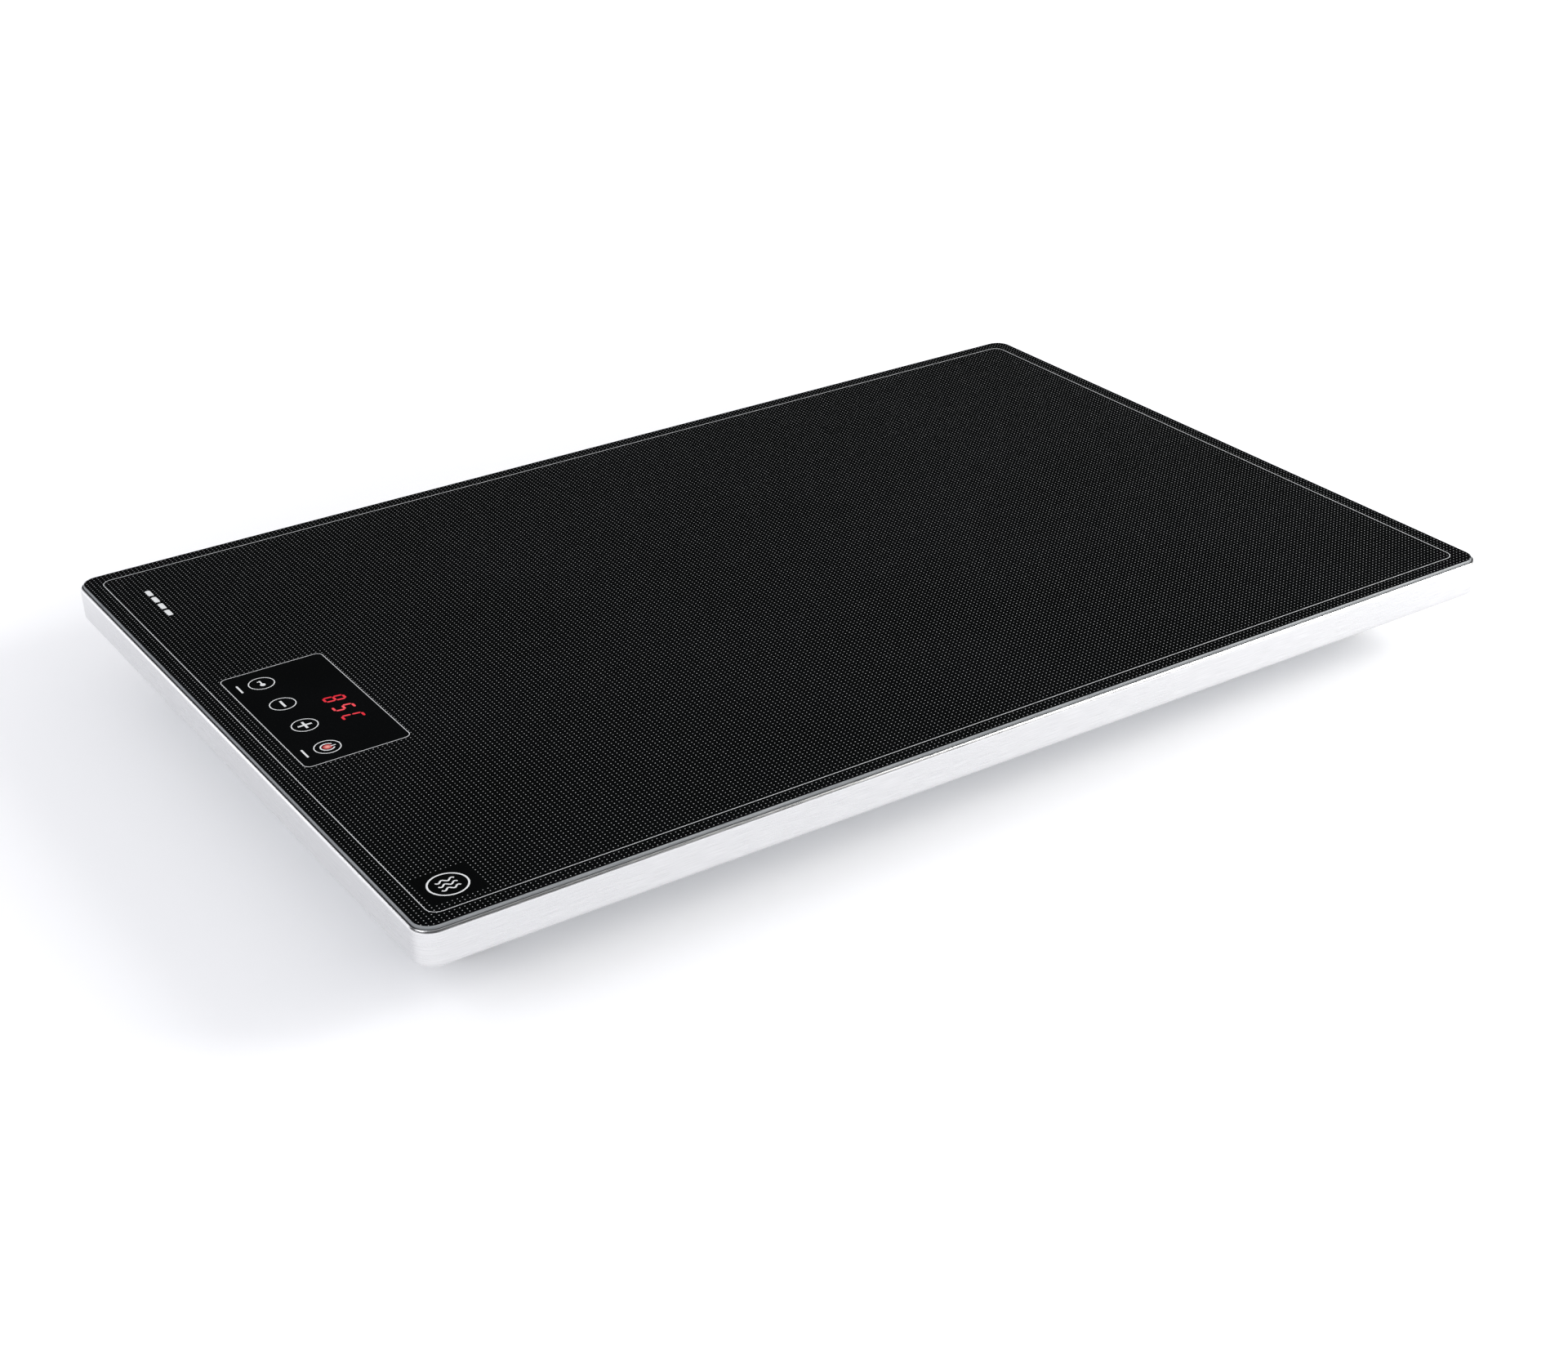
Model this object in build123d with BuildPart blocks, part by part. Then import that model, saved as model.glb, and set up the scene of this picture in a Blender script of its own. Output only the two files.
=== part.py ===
from build123d import *
import os

os.makedirs("parts", exist_ok=True)

# Glass-topped electric warming plate, in millimetres.
# The origin is the centre of the footprint, at the soles of the feet.
# +X is the user's right, +Y points away from the user, +Z is up.

# ------------------------------------------------------------------ driving dimensions
PLATE_WIDTH = 400.0
PLATE_LENGTH = 578.0
PLATE_CORNER = 10.0
GLASS_THICKNESS = 3.2
GLASS_INSET = 1.55         # from the outside of the rim to the edge of the glass
BEVEL_RUN = 0.4            # ground bevel of the glass, seen from above
BEVEL_DROP = 0.35          # ground bevel of the glass, seen from the side
BOND_THICKNESS = 0.3
SHEET = 0.8                # steel sheet of the tray, the pan and the bars
TRAY_DEPTH = 15.3          # from the underside of the tray to the ledge
TRAY_LIP = 14.0            # ledge that the glass is bonded to
RIM_ROUND = 2.4            # outer radius of the shoulder around the glass
RIM_DROP = 0.7             # the shoulder aims this far below the face of the glass
RIM_INSET = 0.95           # where the shoulder is cut off, from the outside of the rim
BEAD_DROP = 1.5            # sealing bead below the face of the glass
PAN_WIDTH = 310.0
PAN_LENGTH = 534.0
PAN_DEPTH = 24.0
PAN_CORNER = 12.0
PAN_FLANGE = 10.0
FOOT_HEIGHT = 8.0
BEND = 3.0                 # outer radius of the folded and drawn corners
EDGE_BREAK = 0.3

# ------------------------------------------------------------------ heights
PAN_BOTTOM = FOOT_HEIGHT
PAN_INSIDE = PAN_BOTTOM + SHEET
TRAY_BOTTOM = PAN_BOTTOM + PAN_DEPTH
TRAY_INSIDE = TRAY_BOTTOM + SHEET
TRAY_TOP = TRAY_BOTTOM + TRAY_DEPTH
GLASS_BOTTOM = TRAY_TOP + BOND_THICKNESS
GLASS_TOP = GLASS_BOTTOM + GLASS_THICKNESS
RIM_CROWN = GLASS_TOP - RIM_DROP

# ------------------------------------------------------------------ heating stack
STACK_WIDTH = 356.0
STACK_FRONT = -204.0
STACK_REAR = 263.0
STACK_LENGTH = STACK_REAR - STACK_FRONT
STACK_MIDDLE = (STACK_REAR + STACK_FRONT) / 2
SPREADER = 1.0
MAT_LAYER = 0.6
FOIL = 0.2
SPREADER_GAP = 0.2
SPREADER_BOTTOM = GLASS_BOTTOM - SPREADER_GAP - SPREADER
UPPER_MAT_BOTTOM = SPREADER_BOTTOM - MAT_LAYER
FOIL_BOTTOM = UPPER_MAT_BOTTOM - FOIL
LOWER_MAT_BOTTOM = FOIL_BOTTOM - MAT_LAYER
BAR_TOP = TRAY_INSIDE + 5.2
FOIL_PITCH = 10.0
FOIL_TRACK = 6.0
FOIL_TRACKS = 34

# ------------------------------------------------------------------ places in plan
FLOOR_OPENING = (296.0, 465.0)
FLOOR_OPENING_Y = 27.5
FOOT_PLACES = [(x, y) for x in (-140.0, 140.0) for y in (-250.0, 250.0)]
FLANGE_LINE_X = PAN_WIDTH / 2 + 5.5
FLANGE_LINE_Y = PAN_LENGTH / 2 + 5.5
FLANGE_SCREWS = [(side * FLANGE_LINE_X, y) for side in (-1, 1) for y in (-220, -110, 0, 110, 220)]
FLANGE_SCREWS += [(x, -FLANGE_LINE_Y) for x in (-100.0, 100.0)]
FLANGE_SCREWS += [(x, FLANGE_LINE_Y) for x in (-60.0, 60.0)]
BAR_ROWS = (-165.0, -55.0, 55.0, 165.0)
BAR_WIDTH = 26.0
BAR_STEP_X = 152.0
BAR_END_X = 186.0
RIVETS = [(side * 175.0, row) for side in (-1, 1) for row in BAR_ROWS]
CUTOUT = (80.0, 55.0)
CUTOUT_EARS = [(CUTOUT[0] - 12.0, CUTOUT[1]), (CUTOUT[0] + 12.0, CUTOUT[1])]
SENSOR = (-60.0, 55.0)
HEATER_LEAD_SLOT = (138.0, 216.0)

# ------------------------------------------------------------------ control compartment
PANEL_Y = -246.7
CARRIER = (132.0, 50.0)
CONTROL_BOARD = (116.0, 46.0)
CONTROL_BOARD_BOTTOM = TRAY_INSIDE + 5.6
CONTROL_BOARD_TOP = CONTROL_BOARD_BOTTOM + 1.6
CONTROL_SCREWS = [(x, PANEL_Y + y) for x in (-53.0, 53.0) for y in (-18.0, 18.0)]
KEY_PITCH = 25.0
KEYS = [(0.6 + place * KEY_PITCH, -256.3) for place in (-1.5, -0.5, 0.5, 1.5)]
DISPLAY = (2.4, -235.2)
DIGIT_PITCH = 10.5
DIGIT_HEIGHT = 10.2
GROMMET = (84.0, -240.0)

# ------------------------------------------------------------------ power compartment
POWER_BOARD = (130.0, 86.0)
POWER_BOARD_AT = (50.0, 195.0)
POWER_BOARD_BOTTOM = PAN_INSIDE + 4.0
POWER_BOARD_TOP = POWER_BOARD_BOTTOM + 1.6
STANDOFFS = [(POWER_BOARD_AT[0] + x, POWER_BOARD_AT[1] + y) for x in (-60, 60) for y in (-38, 38)]
INLET = (-95.0, PAN_BOTTOM + 12.4)
INLET_FACE = PAN_LENGTH / 2 + 2.0
EARTH_STUD = (-95.0, 171.5)
M3 = 1.45
M4 = 1.95


def plate_outline(inset, mode=Mode.ADD):
    """The outline of the plate drawn in by the inset, for the sketch being built."""
    RectangleRounded(PLATE_WIDTH - 2 * inset, PLATE_LENGTH - 2 * inset, PLATE_CORNER - inset, mode=mode)


def screw_group(points, seat, head, shank, upward=False):
    """Pan-head screws with cross recesses; head and shank are (radius, length) pairs."""
    side = 1 if upward else -1
    with BuildPart() as screws:
        with BuildSketch(Plane.XY.offset(seat)):
            with Locations(*points):
                Circle(head[0])
        extrude(amount=side * head[1])
        fillet(screws.edges().group_by(Axis.Z)[-1 if upward else 0], radius=head[1] * 0.6)
        with BuildSketch(Plane.XY.offset(seat + side * head[1])):
            with Locations(*points):
                Rectangle(head[0] * 1.1, head[0] * 0.28)
                Rectangle(head[0] * 0.28, head[0] * 1.1)
        extrude(amount=-side * head[1] * 0.6, mode=Mode.SUBTRACT)
        with BuildSketch(Plane.XY.offset(seat)):
            with Locations(*points):
                Circle(shank[0])
        extrude(amount=-side * shank[1])
    return screws


def nut_group(points, seat, across_flats, height, bore):
    """Hexagon nuts standing on the plane z = seat."""
    with BuildPart() as nuts:
        with BuildSketch(Plane.XY.offset(seat)):
            with Locations(*points):
                RegularPolygon(across_flats / 2, 6, major_radius=False)
                Circle(bore, mode=Mode.SUBTRACT)
        extrude(amount=height)
    return nuts


def block(width, length, corner, bottom, top, at=(0.0, 0.0)):
    """A plate or block with rounded upright corners between two heights."""
    with BuildPart() as body:
        with BuildSketch(Plane.XY.offset(bottom)):
            with Locations(at):
                RectangleRounded(width, length, corner)
        extrude(amount=top - bottom)
    return body


def disc(radius, bottom, top, at, edge=0.0):
    """An upright cylinder between two heights, with its upper edge rounded if edge is given."""
    with BuildPart() as body:
        with BuildSketch(Plane.XY.offset(bottom)):
            with Locations(at):
                Circle(radius)
        extrude(amount=top - bottom)
        if edge > 0:
            fillet(body.edges().group_by(Axis.Z)[-1], radius=edge)
    return body


def leads(routes):
    """Insulated wires, each given as (points, arc radius, diameter): straight runs joined by arcs."""
    with BuildPart() as wires:
        for points, radius, diameter in routes:
            with BuildLine() as route:
                FilletPolyline(*points, radius=radius)
            with BuildSketch(Plane(origin=route.line @ 0, z_dir=route.line % 0)):
                Circle(diameter / 2)
            sweep()
            length = sum(edge.length for edge in route.edges())
            print("lead: length", round(length, 1), "arc radius", radius, "diameter", diameter)
    return wires


# ================================================================== glass and its bond
with BuildPart() as glass_plate:
    with BuildSketch(Plane.XY.offset(GLASS_BOTTOM)):
        plate_outline(GLASS_INSET)
    extrude(amount=GLASS_THICKNESS)
    top_face = glass_plate.faces().sort_by(Axis.Z)[-1]
    chamfer(top_face.edges(), length=BEVEL_RUN, length2=BEVEL_DROP, reference=top_face)
    fillet(glass_plate.faces().sort_by(Axis.Z)[-1].edges(), radius=EDGE_BREAK)
    chamfer(glass_plate.faces().sort_by(Axis.Z)[0].edges(), length=EDGE_BREAK)
glass_plate.part.label = "glass_plate"
export_step(glass_plate.part, "parts/glass_plate.step")

# A bed of silicone on the ledge that turns up as a bead between the glass and the shoulder.
BEAD_OUTSIDE = RIM_INSET + 0.05
BEAD_INSIDE = GLASS_INSET - 0.05

with BuildPart() as glass_bond:
    with BuildSketch(Plane.XY.offset(TRAY_TOP)):
        plate_outline(BEAD_OUTSIDE)
        RectangleRounded(PLATE_WIDTH - 24.0, PLATE_LENGTH - 24.0, 4.0, mode=Mode.SUBTRACT)
    extrude(amount=BOND_THICKNESS)
    with BuildSketch(Plane.XY.offset(TRAY_TOP)):
        plate_outline(BEAD_OUTSIDE)
        plate_outline(BEAD_INSIDE, Mode.SUBTRACT)
    extrude(amount=GLASS_TOP - BEAD_DROP - TRAY_TOP)
glass_bond.part.label = "glass_bond"
export_step(glass_bond.part, "parts/glass_bond.step")

# ================================================================== stainless tray
with BuildPart() as tray_hollow:
    with BuildSketch(Plane.XY.offset(TRAY_INSIDE)):
        plate_outline(SHEET)
    extrude(amount=TRAY_DEPTH - 2 * SHEET)
    fillet(tray_hollow.edges().group_by(Axis.Z)[0], radius=BEND - SHEET)

with BuildPart() as glass_pocket:
    with BuildSketch(Plane.XY.offset(TRAY_TOP)):
        plate_outline(SHEET)
    extrude(amount=RIM_CROWN - SHEET - TRAY_TOP)
    fillet(glass_pocket.edges().group_by(Axis.Z)[-1], radius=RIM_ROUND - SHEET)
    with BuildSketch(Plane.XY.offset(TRAY_TOP)):
        plate_outline(RIM_INSET)
    extrude(amount=GLASS_THICKNESS)

with BuildPart() as rim_tray:
    with BuildSketch(Plane.XY.offset(TRAY_BOTTOM)):
        plate_outline(0.0)
    extrude(amount=RIM_CROWN - TRAY_BOTTOM)
    fillet(rim_tray.edges().group_by(Axis.Z)[0], radius=BEND)
    fillet(rim_tray.edges().group_by(Axis.Z)[-1], radius=RIM_ROUND)
    add(tray_hollow.part, mode=Mode.SUBTRACT)
    add(glass_pocket.part, mode=Mode.SUBTRACT)
    with BuildSketch(Plane.XY.offset(TRAY_TOP)):
        RectangleRounded(PLATE_WIDTH - 2 * TRAY_LIP, PLATE_LENGTH - 2 * TRAY_LIP, 4.0)
    extrude(amount=-2 * SHEET, mode=Mode.SUBTRACT)
    with BuildSketch(Plane.XY.offset(TRAY_BOTTOM)):
        with Locations((0, FLOOR_OPENING_Y)):
            RectangleRounded(FLOOR_OPENING[0], FLOOR_OPENING[1], 8.0)
        with Locations(*FLANGE_SCREWS):
            Circle(2.2)
        with Locations(*RIVETS):
            Circle(1.65)
        with Locations(*CONTROL_SCREWS):
            Circle(1.6)
        with Locations(GROMMET):
            Circle(6.0)
    extrude(amount=SHEET, mode=Mode.SUBTRACT)
rim_tray.part.label = "rim_tray"
export_step(rim_tray.part, "parts/rim_tray.step")

# ================================================================== recessed base pan
VENT_BANKS = [(x, y) for x in (-80.0, 80.0) for y in (-60.0, 70.0)]

with BuildPart() as pan_hollow:
    with BuildSketch(Plane.XY.offset(PAN_INSIDE)):
        RectangleRounded(PAN_WIDTH - 2 * SHEET, PAN_LENGTH - 2 * SHEET, PAN_CORNER - SHEET)
    extrude(amount=PAN_DEPTH)
    fillet(pan_hollow.edges().group_by(Axis.Z)[0], radius=BEND - SHEET)

with BuildPart() as base_pan:
    with BuildSketch(Plane.XY.offset(PAN_BOTTOM)):
        RectangleRounded(PAN_WIDTH, PAN_LENGTH, PAN_CORNER)
    extrude(amount=PAN_DEPTH)
    fillet(base_pan.edges().group_by(Axis.Z)[0], radius=BEND)
    with BuildSketch(Plane.XY.offset(TRAY_BOTTOM)):
        RectangleRounded(PAN_WIDTH + 2 * PAN_FLANGE, PAN_LENGTH + 2 * PAN_FLANGE, PAN_CORNER + PAN_FLANGE)
    extrude(amount=-SHEET)
    add(pan_hollow.part, mode=Mode.SUBTRACT)
    with BuildSketch(Plane.XY.offset(TRAY_BOTTOM)):
        with Locations(*FLANGE_SCREWS):
            Circle(2.2)
    extrude(amount=-SHEET, mode=Mode.SUBTRACT)
    with BuildSketch(Plane.XY.offset(PAN_BOTTOM)):
        with Locations(*VENT_BANKS):
            with GridLocations(34.0, 8.0, 3, 6):
                SlotOverall(26.0, 3.0)
        with Locations(*FOOT_PLACES):
            Circle(2.2)
        with Locations(*STANDOFFS):
            Circle(1.7)
        with Locations(EARTH_STUD):
            Circle(2.05)
    extrude(amount=SHEET, mode=Mode.SUBTRACT)
    with BuildSketch(Plane.XZ.offset(-PAN_LENGTH / 2)):
        with Locations(INLET):
            RectangleRounded(27.2, 20.0, 1.6)
    extrude(amount=2 * SHEET, mode=Mode.SUBTRACT)
base_pan.part.label = "base_pan"
export_step(base_pan.part, "parts/base_pan.step")

flange_screws = screw_group(FLANGE_SCREWS, TRAY_BOTTOM - SHEET, (3.6, 2.2), (M4, 3.8))
flange_screws.part.label = "flange_screws"
export_step(flange_screws.part, "parts/flange_screws.step")

clinch_nuts = nut_group(FLANGE_SCREWS, TRAY_INSIDE, 7.0, 2.0, 2.0)
clinch_nuts.part.label = "clinch_nuts"
export_step(clinch_nuts.part, "parts/clinch_nuts.step")

# ================================================================== feet
FOOT_RADIUS = 12.0
FOOT_RECESS = (6.0, 4.4)

with BuildPart() as feet:
    with BuildSketch(Plane.XY):
        with Locations(*FOOT_PLACES):
            Circle(FOOT_RADIUS)
    extrude(amount=FOOT_HEIGHT)
    chamfer(feet.edges().group_by(Axis.Z)[0], length=3.6, length2=1.6)
    fillet(feet.edges().group_by(Axis.Z)[0], radius=0.6)
    with BuildSketch(Plane.XY):
        with Locations(*FOOT_PLACES):
            Circle(FOOT_RECESS[0])
    extrude(amount=FOOT_RECESS[1], mode=Mode.SUBTRACT)
    with BuildSketch(Plane.XY):
        with Locations(*FOOT_PLACES):
            Circle(2.2)
    extrude(amount=FOOT_HEIGHT, mode=Mode.SUBTRACT)
feet.part.label = "feet"
export_step(feet.part, "parts/feet.step")

foot_screws = screw_group(FOOT_PLACES, FOOT_RECESS[1], (4.0, 2.4), (M4, 7.6))
foot_screws.part.label = "foot_screws"
export_step(foot_screws.part, "parts/foot_screws.step")

# ================================================================== heating stack
heat_spreader = block(STACK_WIDTH + 4, STACK_LENGTH + 4, 5.0, SPREADER_BOTTOM, SPREADER_BOTTOM + SPREADER,
                      (0.0, STACK_MIDDLE))
heat_spreader.part.label = "heat_spreader"
export_step(heat_spreader.part, "parts/heat_spreader.step")

heater_mat_upper = block(STACK_WIDTH, STACK_LENGTH, 5.0, UPPER_MAT_BOTTOM, SPREADER_BOTTOM,
                         (0.0, STACK_MIDDLE))
heater_mat_upper.part.label = "heater_mat_upper"
export_step(heater_mat_upper.part, "parts/heater_mat_upper.step")

# One long etched track: straight runs along Y, joined at alternate ends.
RUN_LENGTH = STACK_LENGTH - 24.0
FIRST_RUN_X = -(FOIL_TRACKS - 1) / 2 * FOIL_PITCH
with BuildPart() as heater_foil:
    with BuildSketch(Plane.XY.offset(FOIL_BOTTOM)):
        for track in range(FOIL_TRACKS):
            run_x = FIRST_RUN_X + track * FOIL_PITCH
            with Locations((run_x, STACK_MIDDLE)):
                Rectangle(FOIL_TRACK, RUN_LENGTH)
            if track < FOIL_TRACKS - 1:
                end = 1 if track % 2 == 0 else -1
                turn_y = STACK_MIDDLE + end * (RUN_LENGTH - FOIL_TRACK) / 2
                with Locations((run_x + FOIL_PITCH / 2, turn_y)):
                    Rectangle(FOIL_PITCH + FOIL_TRACK, FOIL_TRACK)
    extrude(amount=FOIL)
heater_foil.part.label = "heater_foil"
export_step(heater_foil.part, "parts/heater_foil.step")

with BuildPart() as heater_mat_lower:
    with BuildSketch(Plane.XY.offset(LOWER_MAT_BOTTOM)):
        with Locations((0.0, STACK_MIDDLE)):
            RectangleRounded(STACK_WIDTH, STACK_LENGTH, 5.0)
        with Locations(HEATER_LEAD_SLOT):
            Rectangle(6.0, 14.0, mode=Mode.SUBTRACT)
    extrude(amount=MAT_LAYER)
heater_mat_lower.part.label = "heater_mat_lower"
export_step(heater_mat_lower.part, "parts/heater_mat_lower.step")

with BuildPart() as insulation_board:
    with BuildSketch(Plane.XY.offset(BAR_TOP)):
        with Locations((0.0, STACK_MIDDLE)):
            RectangleRounded(STACK_WIDTH, STACK_LENGTH, 5.0)
        with Locations(CUTOUT):
            Circle(9.5, mode=Mode.SUBTRACT)
        with Locations(SENSOR):
            Circle(7.0, mode=Mode.SUBTRACT)
        with Locations(HEATER_LEAD_SLOT):
            Rectangle(8.0, 18.0, mode=Mode.SUBTRACT)
        with Locations(*CUTOUT_EARS):
            Circle(2.6, mode=Mode.SUBTRACT)
    extrude(amount=LOWER_MAT_BOTTOM - BAR_TOP)
insulation_board.part.label = "insulation_board"
export_step(insulation_board.part, "parts/insulation_board.step")

with BuildPart() as retaining_bars:
    for row in BAR_ROWS:
        with BuildSketch(Plane.XZ.offset(-row - BAR_WIDTH / 2)):
            with Locations((0, BAR_TOP - SHEET / 2)):
                Rectangle(2 * BAR_STEP_X, SHEET)
            for side in (-1, 1):
                with Locations((side * (BAR_STEP_X - SHEET / 2), (TRAY_INSIDE + BAR_TOP) / 2)):
                    Rectangle(SHEET, BAR_TOP - TRAY_INSIDE)
                with Locations((side * (BAR_STEP_X + BAR_END_X - SHEET) / 2, TRAY_INSIDE + SHEET / 2)):
                    Rectangle(BAR_END_X - BAR_STEP_X + SHEET, SHEET)
        extrude(amount=BAR_WIDTH)
    with BuildSketch(Plane.XY.offset(TRAY_INSIDE)):
        with Locations(*RIVETS):
            Circle(1.65)
        with Locations(CUTOUT):
            Circle(8.4)
        with Locations(*CUTOUT_EARS):
            Circle(1.6)
        with Locations(SENSOR):
            Circle(4.0)
    extrude(amount=BAR_TOP, mode=Mode.SUBTRACT)
retaining_bars.part.label = "retaining_bars"
export_step(retaining_bars.part, "parts/retaining_bars.step")

with BuildPart() as bar_rivets:
    with BuildSketch(Plane.XY.offset(TRAY_BOTTOM)):
        with Locations(*RIVETS):
            Circle(3.2)
    extrude(amount=-0.9)
    fillet(bar_rivets.edges().group_by(Axis.Z)[0], radius=0.7)
    with BuildSketch(Plane.XY.offset(TRAY_BOTTOM)):
        with Locations(*RIVETS):
            Circle(1.6)
    extrude(amount=2 * SHEET)
    with BuildSketch(Plane.XY.offset(TRAY_INSIDE + SHEET)):
        with Locations(*RIVETS):
            Circle(2.4)
    extrude(amount=1.2)
bar_rivets.part.label = "bar_rivets"
export_step(bar_rivets.part, "parts/bar_rivets.step")

with BuildPart() as barrier_strip:
    with BuildSketch(Plane.XY.offset(TRAY_INSIDE)):
        with Locations((0.0, -211.0)):
            Rectangle(364.0, 6.0)
    extrude(amount=GLASS_BOTTOM - TRAY_INSIDE)
barrier_strip.part.label = "barrier_strip"
export_step(barrier_strip.part, "parts/barrier_strip.step")

# ================================================================== temperature sensor
SENSOR_HEIGHT = 1.8

with BuildPart() as sensor_bead:
    with BuildSketch(Plane.XY.offset(LOWER_MAT_BOTTOM - SENSOR_HEIGHT)):
        with Locations(SENSOR):
            Circle(3.0)
    extrude(amount=SENSOR_HEIGHT)
sensor_bead.part.label = "sensor_bead"
export_step(sensor_bead.part, "parts/sensor_bead.step")

with BuildPart() as sensor_plug:
    with BuildSketch(Plane.XY.offset(BAR_TOP)):
        with Locations(SENSOR):
            Circle(6.8)
            Circle(1.6, mode=Mode.SUBTRACT)
    extrude(amount=LOWER_MAT_BOTTOM - SENSOR_HEIGHT - BAR_TOP)
sensor_plug.part.label = "sensor_plug"
export_step(sensor_plug.part, "parts/sensor_plug.step")

# ================================================================== thermal cut-out with manual reset
CUTOUT_CAP_TOP = LOWER_MAT_BOTTOM
CUTOUT_CAP_BOTTOM = CUTOUT_CAP_TOP - 3.4
CUTOUT_BODY_BOTTOM = CUTOUT_CAP_BOTTOM - 9.6
BUTTON_RADIUS = 1.9
BUTTON_CLEARANCE = 0.08

with BuildPart() as cutout_cap:
    with BuildSketch(Plane.XY.offset(CUTOUT_CAP_BOTTOM)):
        with Locations(CUTOUT):
            Circle(8.2)
    extrude(amount=CUTOUT_CAP_TOP - CUTOUT_CAP_BOTTOM)
    fillet(cutout_cap.edges().group_by(Axis.Z)[-1], radius=0.8)
    with BuildSketch(Plane.XY.offset(CUTOUT_CAP_BOTTOM)):
        with Locations(CUTOUT):
            Circle(7.7)
    extrude(amount=CUTOUT_CAP_TOP - CUTOUT_CAP_BOTTOM - 0.5, mode=Mode.SUBTRACT)
cutout_cap.part.label = "cutout_cap"
export_step(cutout_cap.part, "parts/cutout_cap.step")

with BuildPart() as bimetal_disc:
    with BuildSketch(Plane.XY.offset(CUTOUT_CAP_BOTTOM + 1.6)):
        with Locations(CUTOUT):
            Circle(7.0)
    extrude(amount=0.3)
bimetal_disc.part.label = "bimetal_disc"
export_step(bimetal_disc.part, "parts/bimetal_disc.step")

with BuildPart() as cutout_body:
    with BuildSketch(Plane.XY.offset(CUTOUT_BODY_BOTTOM)):
        with Locations(CUTOUT):
            Circle(7.6)
    extrude(amount=CUTOUT_CAP_BOTTOM + 1.6 - CUTOUT_BODY_BOTTOM)
    with BuildSketch(Plane.XY.offset(CUTOUT_BODY_BOTTOM)):
        with Locations(CUTOUT):
            Circle(BUTTON_RADIUS + BUTTON_CLEARANCE)
    extrude(amount=8.0, mode=Mode.SUBTRACT)
    with BuildSketch(Plane.XY.offset(CUTOUT_BODY_BOTTOM + 0.85)):
        with Locations((CUTOUT[0] - 6.4, CUTOUT[1]), (CUTOUT[0] + 6.4, CUTOUT[1])):
            Rectangle(2.6, 6.4)
    extrude(amount=0.9, mode=Mode.SUBTRACT)
cutout_body.part.label = "cutout_body"
export_step(cutout_body.part, "parts/cutout_body.step")

with BuildPart() as reset_button:
    with BuildSketch(Plane.XY.offset(CUTOUT_BODY_BOTTOM - 2.2)):
        with Locations(CUTOUT):
            Circle(BUTTON_RADIUS)
    extrude(amount=8.0)
    fillet(reset_button.edges().group_by(Axis.Z)[0], radius=0.5)
reset_button.part.label = "reset_button"
export_step(reset_button.part, "parts/reset_button.step")

with BuildPart() as cutout_strap:
    with BuildSketch(Plane.XY.offset(BAR_TOP - SHEET - 0.6)):
        with Locations(CUTOUT):
            RectangleRounded(31.0, 20.0, 3.0)
            Circle(7.7, mode=Mode.SUBTRACT)
        with Locations(*CUTOUT_EARS):
            Circle(1.6, mode=Mode.SUBTRACT)
    extrude(amount=0.6)
cutout_strap.part.label = "cutout_strap"
export_step(cutout_strap.part, "parts/cutout_strap.step")

# ================================================================== control compartment
with BuildPart() as control_carrier:
    with BuildSketch(Plane.XY.offset(TRAY_INSIDE)):
        with Locations((0, PANEL_Y)):
            RectangleRounded(CARRIER[0], CARRIER[1], 3.0)
    extrude(amount=CONTROL_BOARD_TOP + 1.0 - TRAY_INSIDE)
    with BuildSketch(Plane.XY.offset(TRAY_INSIDE + 1.4)):
        with Locations((0, PANEL_Y)):
            RectangleRounded(CARRIER[0] - 3.2, CARRIER[1] - 3.2, 1.4)
    extrude(amount=CONTROL_BOARD_TOP + 1.0 - TRAY_INSIDE, mode=Mode.SUBTRACT)
    with BuildSketch(Plane.XY.offset(TRAY_INSIDE)):
        with Locations(*CONTROL_SCREWS):
            Circle(3.2)
    extrude(amount=CONTROL_BOARD_BOTTOM - TRAY_INSIDE)
    with BuildSketch(Plane.XY.offset(TRAY_INSIDE)):
        with Locations(*CONTROL_SCREWS):
            Circle(1.5)
    extrude(amount=6.0, mode=Mode.SUBTRACT)
    with BuildSketch(Plane.XY.offset(CONTROL_BOARD_TOP)):
        with Locations((CARRIER[0] / 2, GROMMET[1])):
            Rectangle(8.0, 10.0)
    extrude(amount=4.0, mode=Mode.SUBTRACT)
control_carrier.part.label = "control_carrier"
export_step(control_carrier.part, "parts/control_carrier.step")

with BuildPart() as control_board:
    with BuildSketch(Plane.XY.offset(CONTROL_BOARD_BOTTOM)):
        with Locations((0, PANEL_Y)):
            RectangleRounded(CONTROL_BOARD[0], CONTROL_BOARD[1], 2.0)
        with Locations(*CONTROL_SCREWS):
            Circle(1.6, mode=Mode.SUBTRACT)
    extrude(amount=CONTROL_BOARD_TOP - CONTROL_BOARD_BOTTOM)
control_board.part.label = "control_board"
export_step(control_board.part, "parts/control_board.step")

with BuildPart() as touch_pads:
    with BuildSketch(Plane.XY.offset(CONTROL_BOARD_TOP)):
        with Locations(*KEYS):
            Circle(5.5)
        with Locations(KEYS[-1]):
            Circle(2.6, mode=Mode.SUBTRACT)
    extrude(amount=GLASS_BOTTOM - CONTROL_BOARD_TOP)
touch_pads.part.label = "touch_pads"
export_step(touch_pads.part, "parts/touch_pads.step")

power_led = disc(1.5, CONTROL_BOARD_TOP, CONTROL_BOARD_TOP + 4.6, KEYS[-1], 1.3)
power_led.part.label = "power_led"
export_step(power_led.part, "parts/power_led.step")

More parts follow.
